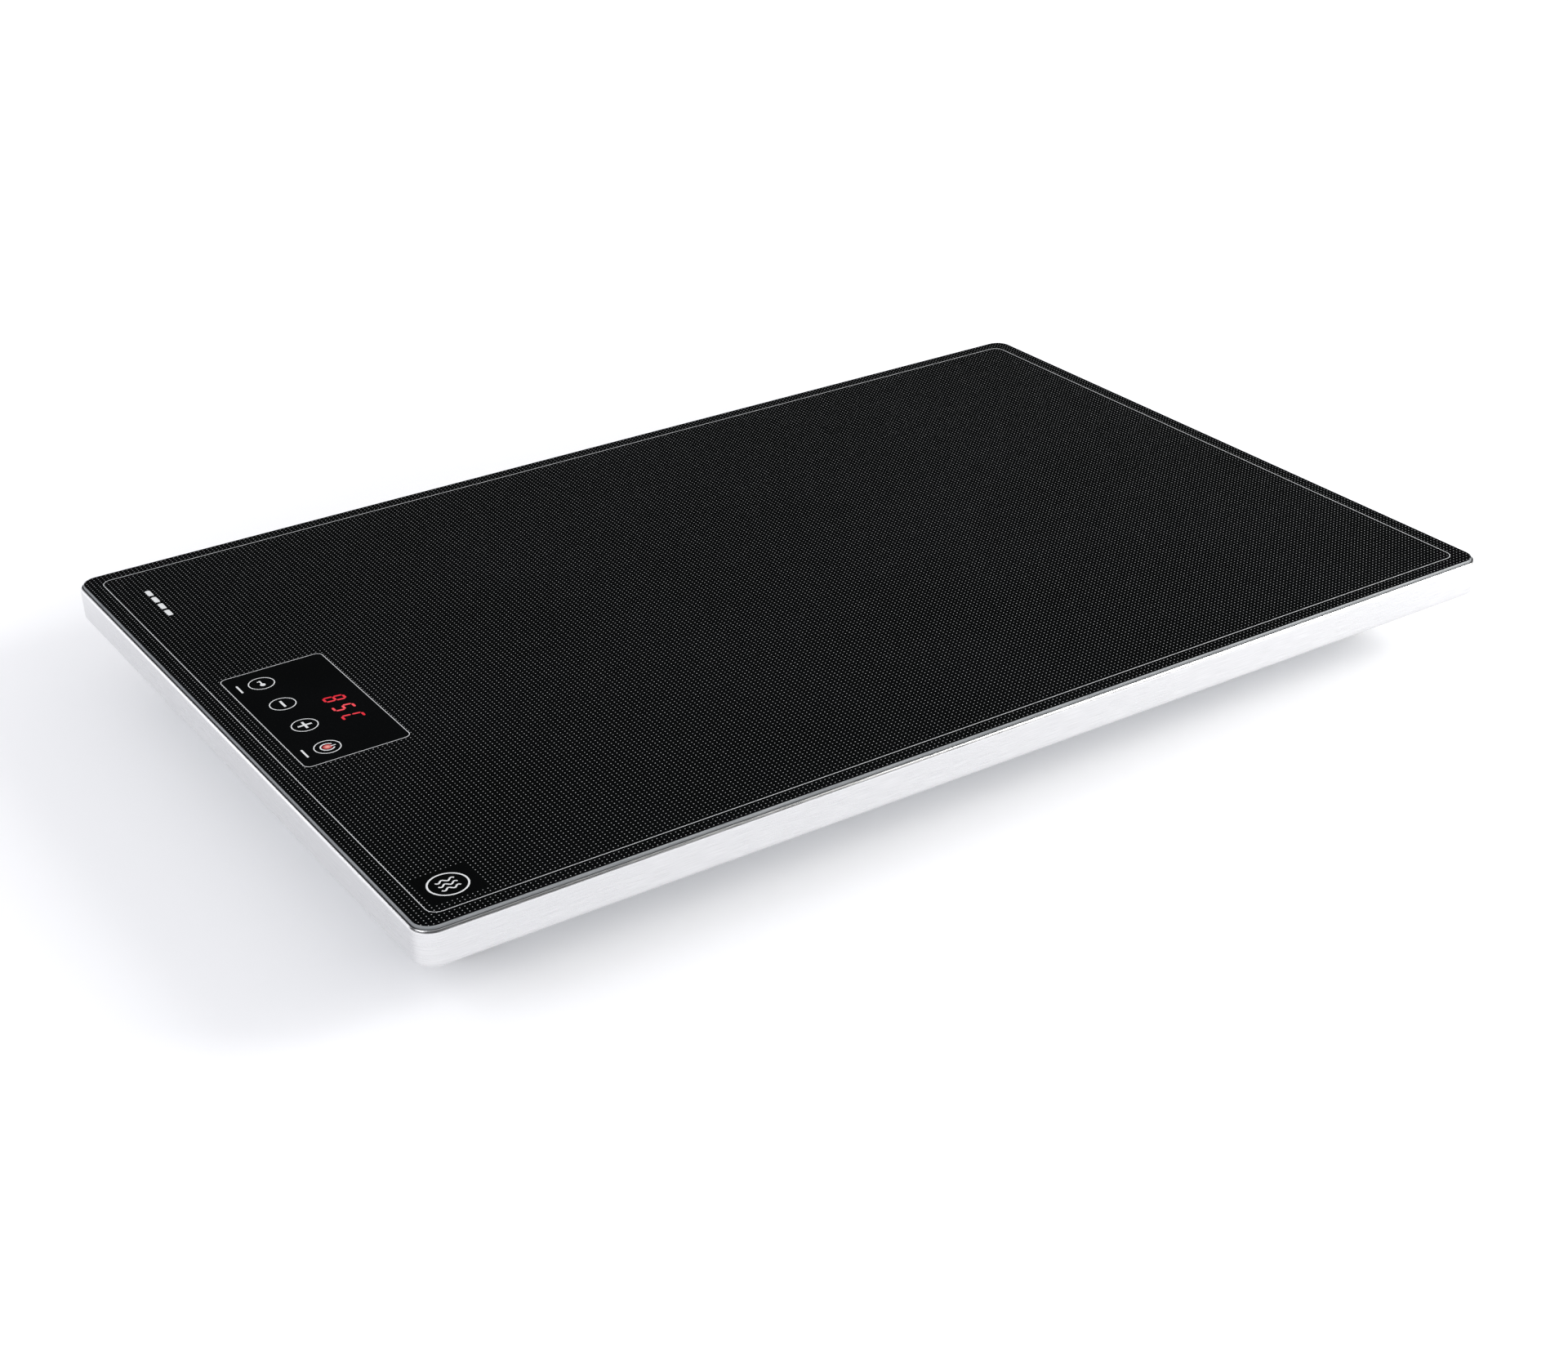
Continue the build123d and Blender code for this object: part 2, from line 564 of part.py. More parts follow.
display_case = block(4 * DIGIT_PITCH + 0.4, 14.6, 0.8, CONTROL_BOARD_TOP, GLASS_BOTTOM - 0.9, DISPLAY)
display_case.part.label = "display_case"
export_step(display_case.part, "parts/display_case.step")

SEGMENT = 1.1
SEGMENT_WIDE = 4.0
SEGMENT_TALL = DIGIT_HEIGHT / 2 - SEGMENT - 0.3
with BuildPart() as display_segments:
    with BuildSketch(Plane.XY.offset(GLASS_BOTTOM - 0.9)):
        for digit in range(4):
            digit_x = DISPLAY[0] + (digit - 1.5) * DIGIT_PITCH
            for row in (-1, 0, 1):
                with Locations((digit_x, DISPLAY[1] + row * (DIGIT_HEIGHT - SEGMENT) / 2)):
                    SlotOverall(SEGMENT_WIDE, SEGMENT)
            for side in (-1, 1):
                for half in (-1, 1):
                    with Locations((digit_x + side * 2.7, DISPLAY[1] + half * (DIGIT_HEIGHT - SEGMENT) / 4)):
                        SlotOverall(SEGMENT_TALL, SEGMENT, rotation=90)
    extrude(amount=0.3)
display_segments.part.label = "display_segments"
export_step(display_segments.part, "parts/display_segments.step")

with BuildPart() as controller_chip:
    with BuildSketch(Plane.XY.offset(CONTROL_BOARD_TOP + 0.2)):
        with Locations((38.0, -236.0)):
            Rectangle(10.0, 10.0)
    extrude(amount=1.4)
    with BuildSketch(Plane.XY.offset(CONTROL_BOARD_TOP)):
        with Locations((38.0, -236.0)):
            with GridLocations(1.2, 10.8, 7, 2):
                Rectangle(0.5, 1.2)
            with GridLocations(10.8, 1.2, 2, 7):
                Rectangle(1.2, 0.5)
    extrude(amount=0.3)
controller_chip.part.label = "controller_chip"
export_step(controller_chip.part, "parts/controller_chip.step")

with BuildPart() as buzzer:
    with BuildSketch(Plane.XY.offset(CONTROL_BOARD_TOP)):
        with Locations((-38.0, -234.0)):
            Circle(6.0)
    extrude(amount=5.4)
    fillet(buzzer.edges().group_by(Axis.Z)[-1], radius=0.6)
    with BuildSketch(Plane.XY.offset(CONTROL_BOARD_TOP + 5.4)):
        with Locations((-38.0, -234.0)):
            Circle(1.0)
    extrude(amount=-2.0, mode=Mode.SUBTRACT)
buzzer.part.label = "buzzer"
export_step(buzzer.part, "parts/buzzer.step")

with BuildPart() as harness_grommet:
    with BuildSketch(Plane.XY.offset(TRAY_BOTTOM)):
        with Locations(GROMMET):
            Circle(5.95)
    extrude(amount=SHEET)
    for plane_height in (TRAY_BOTTOM - 1.4, TRAY_INSIDE):
        with BuildSketch(Plane.XY.offset(plane_height)):
            with Locations(GROMMET):
                Circle(7.8)
        extrude(amount=1.4)
    with BuildSketch(Plane.XY.offset(TRAY_BOTTOM - 1.4)):
        with Locations(GROMMET):
            Circle(4.2)
    extrude(amount=2 * 1.4 + SHEET, mode=Mode.SUBTRACT)
harness_grommet.part.label = "harness_grommet"
export_step(harness_grommet.part, "parts/harness_grommet.step")

# ================================================================== mains inlet
PIN_PLACES = [(-7.0, -2.0), (7.0, -2.0), (0.0, 2.0)]
PIN_FRONT = INLET_FACE - 3.0
PIN_REAR = PAN_LENGTH / 2 - 30.0
SOCKET_DEPTH = 17.2

with BuildPart() as inlet_body:
    with BuildSketch(Plane.XZ.offset(-INLET_FACE)):
        with Locations(INLET):
            RectangleRounded(31.0, 20.8, 2.0)
    extrude(amount=2.0)
    with BuildSketch(Plane.XZ.offset(-PAN_LENGTH / 2)):
        with Locations(INLET):
            RectangleRounded(27.0, 19.8, 1.5)
    extrude(amount=22.0)
    with BuildSketch(Plane.XZ.offset(-INLET_FACE)) as socket_outline:
        with Locations(INLET):
            Rectangle(24.4, 16.9)
        chamfer(socket_outline.vertices().group_by(Axis.Z)[-1], length=4.5)
    extrude(amount=SOCKET_DEPTH, mode=Mode.SUBTRACT)
    with BuildSketch(Plane.XZ.offset(-PAN_LENGTH / 2)):
        with Locations(*[(INLET[0] + x, INLET[1] + z) for x, z in PIN_PLACES]):
            Rectangle(2.0, 4.0)
    extrude(amount=24.0, mode=Mode.SUBTRACT)
inlet_body.part.label = "inlet_body"
export_step(inlet_body.part, "parts/inlet_body.step")

with BuildPart() as inlet_pins:
    with BuildSketch(Plane.XZ.offset(-PIN_FRONT)):
        with Locations(*[(INLET[0] + x, INLET[1] + z) for x, z in PIN_PLACES]):
            Rectangle(2.0, 4.0)
    extrude(amount=PIN_FRONT - PIN_REAR)
    chamfer(inlet_pins.faces().filter_by(Axis.Y).group_by(Axis.Y)[-1].edges(), length=0.5)
inlet_pins.part.label = "inlet_pins"
export_step(inlet_pins.part, "parts/inlet_pins.step")

# ================================================================== protective earth
with BuildPart() as earth_stud:
    with BuildSketch(Plane.XY.offset(PAN_BOTTOM)):
        with Locations(EARTH_STUD):
            Circle(4.0)
    extrude(amount=-1.0)
    with BuildSketch(Plane.XY.offset(PAN_BOTTOM)):
        with Locations(EARTH_STUD):
            Circle(M4)
    extrude(amount=8.0)
earth_stud.part.label = "earth_stud"
export_step(earth_stud.part, "parts/earth_stud.step")

with BuildPart() as earth_lug:
    with BuildSketch(Plane.XY.offset(PAN_INSIDE)):
        with Locations(EARTH_STUD):
            Circle(4.2)
        with Locations((EARTH_STUD[0], EARTH_STUD[1] + 6.0)):
            Rectangle(5.0, 9.0)
        with Locations(EARTH_STUD):
            Circle(2.05, mode=Mode.SUBTRACT)
    extrude(amount=0.8)
    with BuildSketch(Plane.XY.offset(PAN_INSIDE)):
        with Locations((EARTH_STUD[0], EARTH_STUD[1] + 8.5)):
            Rectangle(5.0, 4.0)
    extrude(amount=3.2)
earth_lug.part.label = "earth_lug"
export_step(earth_lug.part, "parts/earth_lug.step")

foot_nuts = nut_group(FOOT_PLACES, PAN_INSIDE, 7.0, 3.2, 2.0)
earth_nut = nut_group([EARTH_STUD], PAN_INSIDE + 0.8, 7.0, 3.2, 2.0)
with BuildPart() as hex_nuts:
    add([foot_nuts.part, earth_nut.part])
hex_nuts.part.label = "hex_nuts"
export_step(hex_nuts.part, "parts/hex_nuts.step")

# ================================================================== power board
with BuildPart() as board_standoffs:
    with BuildSketch(Plane.XY.offset(PAN_INSIDE)):
        with Locations(*STANDOFFS):
            RegularPolygon(3.0, 6, major_radius=False)
            Circle(1.5, mode=Mode.SUBTRACT)
    extrude(amount=POWER_BOARD_BOTTOM - PAN_INSIDE)
board_standoffs.part.label = "board_standoffs"
export_step(board_standoffs.part, "parts/board_standoffs.step")

with BuildPart() as power_board:
    with BuildSketch(Plane.XY.offset(POWER_BOARD_BOTTOM)):
        with Locations(POWER_BOARD_AT):
            RectangleRounded(POWER_BOARD[0], POWER_BOARD[1], 2.0)
        with Locations(*STANDOFFS):
            Circle(1.6, mode=Mode.SUBTRACT)
    extrude(amount=POWER_BOARD_TOP - POWER_BOARD_BOTTOM)
power_board.part.label = "power_board"
export_step(power_board.part, "parts/power_board.step")

board_seat = screw_group(STANDOFFS, POWER_BOARD_TOP, (2.8, 1.8), (M3, 6.4), upward=True)
control_seat = screw_group(CONTROL_SCREWS, CONTROL_BOARD_TOP, (2.8, 1.8), (M3, 9.2), upward=True)
strap_seat = screw_group(CUTOUT_EARS, BAR_TOP - SHEET - 0.6, (2.8, 1.8), (M3, 4.2))
with BuildPart() as board_screws:
    add([board_seat.part, control_seat.part, strap_seat.part])
board_screws.part.label = "board_screws"
export_step(board_screws.part, "parts/board_screws.step")

TERMINAL_X = -6.0
TERMINAL_ROWS = (194.0, 200.0, 206.0)
with BuildPart() as terminal_block:
    with BuildSketch(Plane.XY.offset(POWER_BOARD_TOP)):
        with Locations((TERMINAL_X, 200.0)):
            Rectangle(9.0, 20.0)
    extrude(amount=10.5)
    chamfer(terminal_block.edges().filter_by(Axis.Y).group_by(Axis.Z)[-1], length=1.2)
    with BuildSketch(Plane.YZ.offset(TERMINAL_X - 4.5)):
        with Locations(*[(y, POWER_BOARD_TOP + 4.0) for y in TERMINAL_ROWS]):
            Circle(1.7)
    extrude(amount=5.0, mode=Mode.SUBTRACT)
    with BuildSketch(Plane.XY.offset(POWER_BOARD_TOP + 10.5)):
        with Locations(*[(TERMINAL_X, y) for y in TERMINAL_ROWS]):
            Circle(1.8)
    extrude(amount=-3.0, mode=Mode.SUBTRACT)
terminal_block.part.label = "terminal_block"
export_step(terminal_block.part, "parts/terminal_block.step")

with BuildPart() as fuse_clips:
    with BuildSketch(Plane.YZ.offset(5.0)):
        with Locations((228.0, POWER_BOARD_TOP + 4.0)):
            Rectangle(6.6, 8.0)
    extrude(amount=22.0)
    with BuildSketch(Plane.YZ.offset(5.0)):
        with Locations((228.0, POWER_BOARD_TOP + 4.8)):
            Rectangle(5.6, 8.0)
    extrude(amount=22.0, mode=Mode.SUBTRACT)
    with BuildSketch(Plane.XY.offset(POWER_BOARD_TOP)):
        with Locations((16.0, 228.0)):
            Rectangle(12.0, 7.0)
    extrude(amount=9.0, mode=Mode.SUBTRACT)
fuse_clips.part.label = "fuse_clips"
export_step(fuse_clips.part, "parts/fuse_clips.step")

with BuildPart() as fuse_link:
    with BuildSketch(Plane.YZ.offset(6.0)):
        with Locations((228.0, POWER_BOARD_TOP + 3.6)):
            Circle(2.6)
    extrude(amount=20.0)
    fillet(fuse_link.edges().filter_by(GeomType.CIRCLE), radius=0.3)
fuse_link.part.label = "fuse_link"
export_step(fuse_link.part, "parts/fuse_link.step")

noise_capacitor = block(18.0, 8.5, 0.8, POWER_BOARD_TOP, POWER_BOARD_TOP + 14.0, (16.0, 178.0))
noise_capacitor.part.label = "noise_capacitor"
export_step(noise_capacitor.part, "parts/noise_capacitor.step")

power_module = block(36.0, 24.0, 1.0, POWER_BOARD_TOP, POWER_BOARD_TOP + 15.0, (56.0, 174.0))
power_module.part.label = "power_module"
export_step(power_module.part, "parts/power_module.step")

smoothing_capacitor = disc(5.0, POWER_BOARD_TOP, POWER_BOARD_TOP + 12.5, (88.0, 176.0), 0.8)
smoothing_capacitor.part.label = "smoothing_capacitor"
export_step(smoothing_capacitor.part, "parts/smoothing_capacitor.step")

BOARD_HEADERS = [(96.0, 159.0), (0.0, 159.0)]
with BuildPart() as board_headers:
    with BuildSketch(Plane.XY.offset(POWER_BOARD_TOP)):
        with Locations(*BOARD_HEADERS):
            Rectangle(9.0, 7.0)
    extrude(amount=6.0)
    with BuildSketch(Plane.XY.offset(CONTROL_BOARD_TOP)):
        with Locations((54.5, GROMMET[1])):
            Rectangle(7.0, 9.0)
    extrude(amount=4.4)
board_headers.part.label = "board_headers"
export_step(board_headers.part, "parts/board_headers.step")

SPADE_HEIGHT = POWER_BOARD_TOP + 5.0
HEATER_SPADES = [(110.0, 212.0), (110.0, 220.0)]
CUTOUT_SPADES = [(30.0, 157.0), (76.0, 157.0)]
with BuildPart() as spade_tabs:
    with BuildSketch(Plane.XY.offset(POWER_BOARD_TOP)):
        with Locations(*HEATER_SPADES):
            Rectangle(6.3, 0.8)
        with Locations(*CUTOUT_SPADES):
            Rectangle(0.8, 6.3)
    extrude(amount=8.0)
    with BuildSketch(Plane.XY.offset(CUTOUT_BODY_BOTTOM + 0.9)):
        with Locations((CUTOUT[0] - 9.1, CUTOUT[1]), (CUTOUT[0] + 9.1, CUTOUT[1])):
            Rectangle(7.8, 6.3)
    extrude(amount=0.8)
spade_tabs.part.label = "spade_tabs"
export_step(spade_tabs.part, "parts/spade_tabs.step")

# ================================================================== heater relay
# Places inside the relay run from its own base: along X from its middle, up from the board.
RELAY = (70.0, 214.0)
RELAY_LENGTH = 29.0
RELAY_WIDTH = 12.7
RELAY_HEIGHT = 15.7
RELAY_WALL = 0.6
RELAY_FOOT = POWER_BOARD_TOP
CORE_HEIGHT = RELAY_FOOT + 7.6
PIVOT_X = RELAY[0] + 6.6
PIVOT_HEIGHT = RELAY_FOOT + 12.8
CONTACT_HEIGHT = RELAY_FOOT + 2.6

with BuildPart() as relay_base:
    with BuildSketch(Plane.XY.offset(RELAY_FOOT)):
        with Locations(RELAY):
            Rectangle(RELAY_LENGTH - 2 * RELAY_WALL, RELAY_WIDTH - 2 * RELAY_WALL)
    extrude(amount=1.4)
    with BuildSketch(Plane.XZ.offset(-RELAY[1] - 1.5)):
        with Locations((PIVOT_X - 1.5, RELAY_FOOT + 2.25)):
            Rectangle(0.6, 2.0)
    extrude(amount=3.0)
    with BuildSketch(Plane.YZ.offset(PIVOT_X - 1.2)):
        with Locations((RELAY[1], CONTACT_HEIGHT)):
            Circle(0.6)
    extrude(amount=0.8)
relay_base.part.label = "relay_base"
export_step(relay_base.part, "parts/relay_base.step")

with BuildPart() as relay_bobbin:
    with BuildSketch(Plane.YZ.offset(RELAY[0] - 11.0)):
        with Locations((RELAY[1], CORE_HEIGHT)):
            Circle(2.4)
            Circle(1.7, mode=Mode.SUBTRACT)
    extrude(amount=16.0)
    for flange_x in (-11.0, 4.0):
        with BuildSketch(Plane.YZ.offset(RELAY[0] + flange_x)):
            with Locations((RELAY[1], CORE_HEIGHT)):
                Circle(4.2)
                Circle(1.7, mode=Mode.SUBTRACT)
        extrude(amount=1.0)
relay_bobbin.part.label = "relay_bobbin"
export_step(relay_bobbin.part, "parts/relay_bobbin.step")

with BuildPart() as relay_winding:
    with BuildSketch(Plane.YZ.offset(RELAY[0] - 10.0)):
        with Locations((RELAY[1], CORE_HEIGHT)):
            Circle(3.9)
            Circle(2.4, mode=Mode.SUBTRACT)
    extrude(amount=14.0)
relay_winding.part.label = "relay_winding"
export_step(relay_winding.part, "parts/relay_winding.step")

with BuildPart() as relay_yoke:
    with BuildSketch(Plane.XZ.offset(-RELAY[1] - 4.5)):
        with Locations((RELAY[0] - 11.8, RELAY_FOOT + 7.4)):
            Rectangle(1.2, 12.0)
        with Locations((RELAY[0] - 3.0, RELAY_FOOT + 12.8)):
            Rectangle(18.8, 1.2)
    extrude(amount=9.0)
    with BuildSketch(Plane.YZ.offset(RELAY[0] - 11.8)):
        with Locations((RELAY[1], CORE_HEIGHT)):
            Circle(1.65)
    extrude(amount=17.7)
relay_yoke.part.label = "relay_yoke"
export_step(relay_yoke.part, "parts/relay_yoke.step")

with BuildPart() as relay_armature:
    with BuildSketch(Plane.XZ.offset(-RELAY[1] - 4.0)):
        with Locations((PIVOT_X + 0.6, RELAY_FOOT + 9.0)):
            Rectangle(1.2, 9.2)
    extrude(amount=8.0)
relay_armature.part.label = "relay_armature"
export_step(relay_armature.part, "parts/relay_armature.step")

with BuildPart() as relay_contact_spring:
    with BuildSketch(Plane.XZ.offset(-RELAY[1] - 2.0)):
        with Locations((PIVOT_X + 1.3, RELAY_FOOT + 7.2)):
            Rectangle(0.2, 9.8)
    extrude(amount=4.0)
    with BuildSketch(Plane.YZ.offset(PIVOT_X + 1.2)):
        with Locations((RELAY[1], CONTACT_HEIGHT)):
            Circle(0.7)
    extrude(amount=-0.6)
relay_contact_spring.part.label = "relay_contact_spring"
export_step(relay_contact_spring.part, "parts/relay_contact_spring.step")

with BuildPart() as relay_cover:
    with BuildSketch(Plane.XY.offset(RELAY_FOOT)):
        with Locations(RELAY):
            Rectangle(RELAY_LENGTH, RELAY_WIDTH)
    extrude(amount=RELAY_HEIGHT)
    fillet(relay_cover.edges().filter_by(Axis.Z), radius=0.5)
    with BuildSketch(Plane.XY.offset(RELAY_FOOT)):
        with Locations(RELAY):
            Rectangle(RELAY_LENGTH - 2 * RELAY_WALL, RELAY_WIDTH - 2 * RELAY_WALL)
    extrude(amount=RELAY_HEIGHT - RELAY_WALL, mode=Mode.SUBTRACT)
relay_cover.part.label = "relay_cover"
export_step(relay_cover.part, "parts/relay_cover.step")

# ================================================================== internal wiring
MAINS_WIRE = 2.4
SIGNAL_WIRE = 1.6
HARNESS = 3.6
TERMINAL_HEIGHT = POWER_BOARD_TOP + 4.0
TERMINAL_END = TERMINAL_X - 1.5
LUG_HEIGHT = PAN_INSIDE + 2.0
CUTOUT_TAB_HEIGHT = CUTOUT_BODY_BOTTOM + 1.3
LIVE = INLET[0] - 7.0
NEUTRAL = INLET[0] + 7.0
BLADE_HEIGHT = INLET[1] - 2.0

INLET_LEADS = [
    ([(LIVE, PIN_REAR, BLADE_HEIGHT), (LIVE, 194.0, TERMINAL_HEIGHT),
      (TERMINAL_END, 194.0, TERMINAL_HEIGHT)], 14.0, MAINS_WIRE),
    ([(NEUTRAL, PIN_REAR, BLADE_HEIGHT), (NEUTRAL, 200.0, TERMINAL_HEIGHT),
      (TERMINAL_END, 200.0, TERMINAL_HEIGHT)], 14.0, MAINS_WIRE),
    ([(INLET[0], PIN_REAR, INLET[1] + 2.0), (INLET[0], 224.0, INLET[1] + 2.0), (INLET[0], 208.0, LUG_HEIGHT),
      (INLET[0], EARTH_STUD[1] + 10.5, LUG_HEIGHT)], 12.0, MAINS_WIRE),
]
HEATER_LEADS = [
    ([(113.15, 212.0, SPADE_HEIGHT), (138.0, 212.0, SPADE_HEIGHT), (138.0, 212.0, FOIL_BOTTOM)],
     12.0, MAINS_WIRE),
    ([(113.15, 220.0, SPADE_HEIGHT), (138.0, 220.0, SPADE_HEIGHT), (138.0, 220.0, FOIL_BOTTOM)],
     12.0, MAINS_WIRE),
    ([(CUTOUT[0] - 13.8, CUTOUT[1], CUTOUT_TAB_HEIGHT), (50.0, 58.0, CUTOUT_TAB_HEIGHT - 0.5),
      (30.0, 100.0, SPADE_HEIGHT), (30.0, 153.85, SPADE_HEIGHT)], 12.0, MAINS_WIRE),
    ([(CUTOUT[0] + 13.8, CUTOUT[1], CUTOUT_TAB_HEIGHT), (108.0, 60.0, CUTOUT_TAB_HEIGHT - 2.5),
      (76.0, 110.0, SPADE_HEIGHT), (76.0, 153.85, SPADE_HEIGHT)], 12.0, MAINS_WIRE),
]
SENSOR_LEAD = [
    ([(SENSOR[0], SENSOR[1], LOWER_MAT_BOTTOM - SENSOR_HEIGHT), (SENSOR[0], SENSOR[1], 20.0),
      (-30.0, 100.0, 18.0), (0.0, 130.0, POWER_BOARD_TOP + 3.0), (0.0, 155.5, POWER_BOARD_TOP + 3.0)],
     9.0, SIGNAL_WIRE),
]
CONTROL_HARNESS = [
    ([(58.0, GROMMET[1], CONTROL_BOARD_TOP + 2.4), (GROMMET[0], GROMMET[1], CONTROL_BOARD_TOP + 2.4),
      (GROMMET[0], GROMMET[1], 13.0), (128.0, -190.0, 13.0), (128.0, 80.0, 13.0),
      (96.0, 125.0, POWER_BOARD_TOP + 3.0), (96.0, 155.5, POWER_BOARD_TOP + 3.0)], 11.5, HARNESS),
]

inlet_leads = leads(INLET_LEADS)
inlet_leads.part.label = "inlet_leads"
export_step(inlet_leads.part, "parts/inlet_leads.step")

heater_leads = leads(HEATER_LEADS)
heater_leads.part.label = "heater_leads"
export_step(heater_leads.part, "parts/heater_leads.step")

sensor_lead = leads(SENSOR_LEAD)
sensor_lead.part.label = "sensor_lead"
export_step(sensor_lead.part, "parts/sensor_lead.step")

control_harness = leads(CONTROL_HARNESS)
control_harness.part.label = "control_harness"
export_step(control_harness.part, "parts/control_harness.step")
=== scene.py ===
"""Looks of a glass-topped warming plate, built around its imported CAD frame.

The glass top with its printed marks, the folded steel rim and the fasteners and feet below are built
here as finished meshes that stand for their plain CAD nodes. Every other CAD node keeps its shape and
gets the finish of the stuff it is made of.
"""

import logging
import math
from abc import ABC, abstractmethod
from dataclasses import dataclass, field
from enum import Enum
from typing import Any, Iterable, Sequence

import bmesh
import bpy
from mathutils import Matrix, Quaternion, Vector


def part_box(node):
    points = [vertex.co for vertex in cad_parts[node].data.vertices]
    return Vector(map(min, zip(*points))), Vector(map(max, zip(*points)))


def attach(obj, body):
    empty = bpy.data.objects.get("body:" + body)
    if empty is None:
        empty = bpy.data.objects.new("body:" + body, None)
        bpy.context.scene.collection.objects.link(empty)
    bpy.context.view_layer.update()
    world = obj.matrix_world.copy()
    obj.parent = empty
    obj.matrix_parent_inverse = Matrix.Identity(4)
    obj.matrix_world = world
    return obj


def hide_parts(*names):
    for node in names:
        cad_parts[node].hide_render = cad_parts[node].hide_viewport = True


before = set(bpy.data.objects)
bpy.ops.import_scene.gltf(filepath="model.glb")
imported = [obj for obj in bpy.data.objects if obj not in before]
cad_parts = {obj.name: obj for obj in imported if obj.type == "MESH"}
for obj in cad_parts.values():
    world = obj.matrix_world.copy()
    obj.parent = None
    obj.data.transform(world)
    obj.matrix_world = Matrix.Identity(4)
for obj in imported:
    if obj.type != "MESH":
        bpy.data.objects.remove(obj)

LOG = logging.getLogger("warming_plate")
MM = 0.001
BODY = "plate"

GLASS_IOR = 1.52
# the places of a colour Mix node's two inputs and its result, which share their names with others
MIX_A, MIX_B, MIX_OUT = 6, 7, 2

Point = tuple[float, float]
Spot = tuple[float, float, float]
Colour = tuple[float, float, float, float]


# ---------------------------------------------------------------- colours and nodes


def linear(code: str) -> Colour:
    """Turns an sRGB hex colour into the linear colour that a shader takes.

    Args:
        code: six hex digits, with or without a leading #.

    Returns:
        The linear red, green, blue and an alpha of 1.
    """
    digits = code.lstrip("#")
    shares = (int(digits[i : i + 2], 16) / 255 for i in (0, 2, 4))
    return (*((s / 12.92 if s <= 0.04045 else ((s + 0.055) / 1.055) ** 2.4) for s in shares), 1.0)


def add_node(
    tree: bpy.types.NodeTree, kind: str, links: dict[Any, Any] | None = None, **settings: Any
) -> bpy.types.Node:
    """Adds one node, sets its settings, and links or sets its inputs.

    Args:
        tree: the node tree that gets the node.
        kind: the node's type name.
        links: input name or number to a plain value, an output socket, or a node, whose first
            output is then used.
        settings: the node's own settings by name.

    Returns:
        The new node.
    """
    node = tree.nodes.new(kind)
    for name, value in settings.items():
        setattr(node, name, value)
    for key, value in (links or {}).items():
        source = value.outputs[0] if isinstance(value, bpy.types.Node) else value
        if isinstance(source, bpy.types.NodeSocket):
            tree.links.new(source, node.inputs[key])
        else:
            node.inputs[key].default_value = source
    return node


def span(
    tree: bpy.types.NodeTree,
    value: Any,
    source: tuple[float, float] = (0.0, 1.0),
    target: tuple[float, float] = (0.0, 1.0),
    soft: bool = False,
) -> bpy.types.Node:
    """Maps a value from one range to another, and holds it there.

    Args:
        tree: the node tree.
        value: the socket or node to map.
        source: where the value starts and ends.
        target: what those two ends become.
        soft: True eases the two ends.

    Returns:
        The mapping node.
    """
    ends = {"From Min": source[0], "From Max": source[1], "To Min": target[0], "To Max": target[1]}
    easing = "SMOOTHSTEP" if soft else "LINEAR"
    return add_node(tree, "ShaderNodeMapRange", {"Value": value, **ends}, interpolation_type=easing)


# ---------------------------------------------------------------- finishes


class Grain(Enum):
    """Which way a worked surface's streaks run, as the stretch of its noise along X, Y and Z."""

    EVEN = (1.0, 1.0, 1.0)
    LEVEL = (0.02, 0.02, 1.0)
    ALONG_X = (0.02, 1.0, 1.0)
    ALONG_Y = (1.0, 0.02, 1.0)


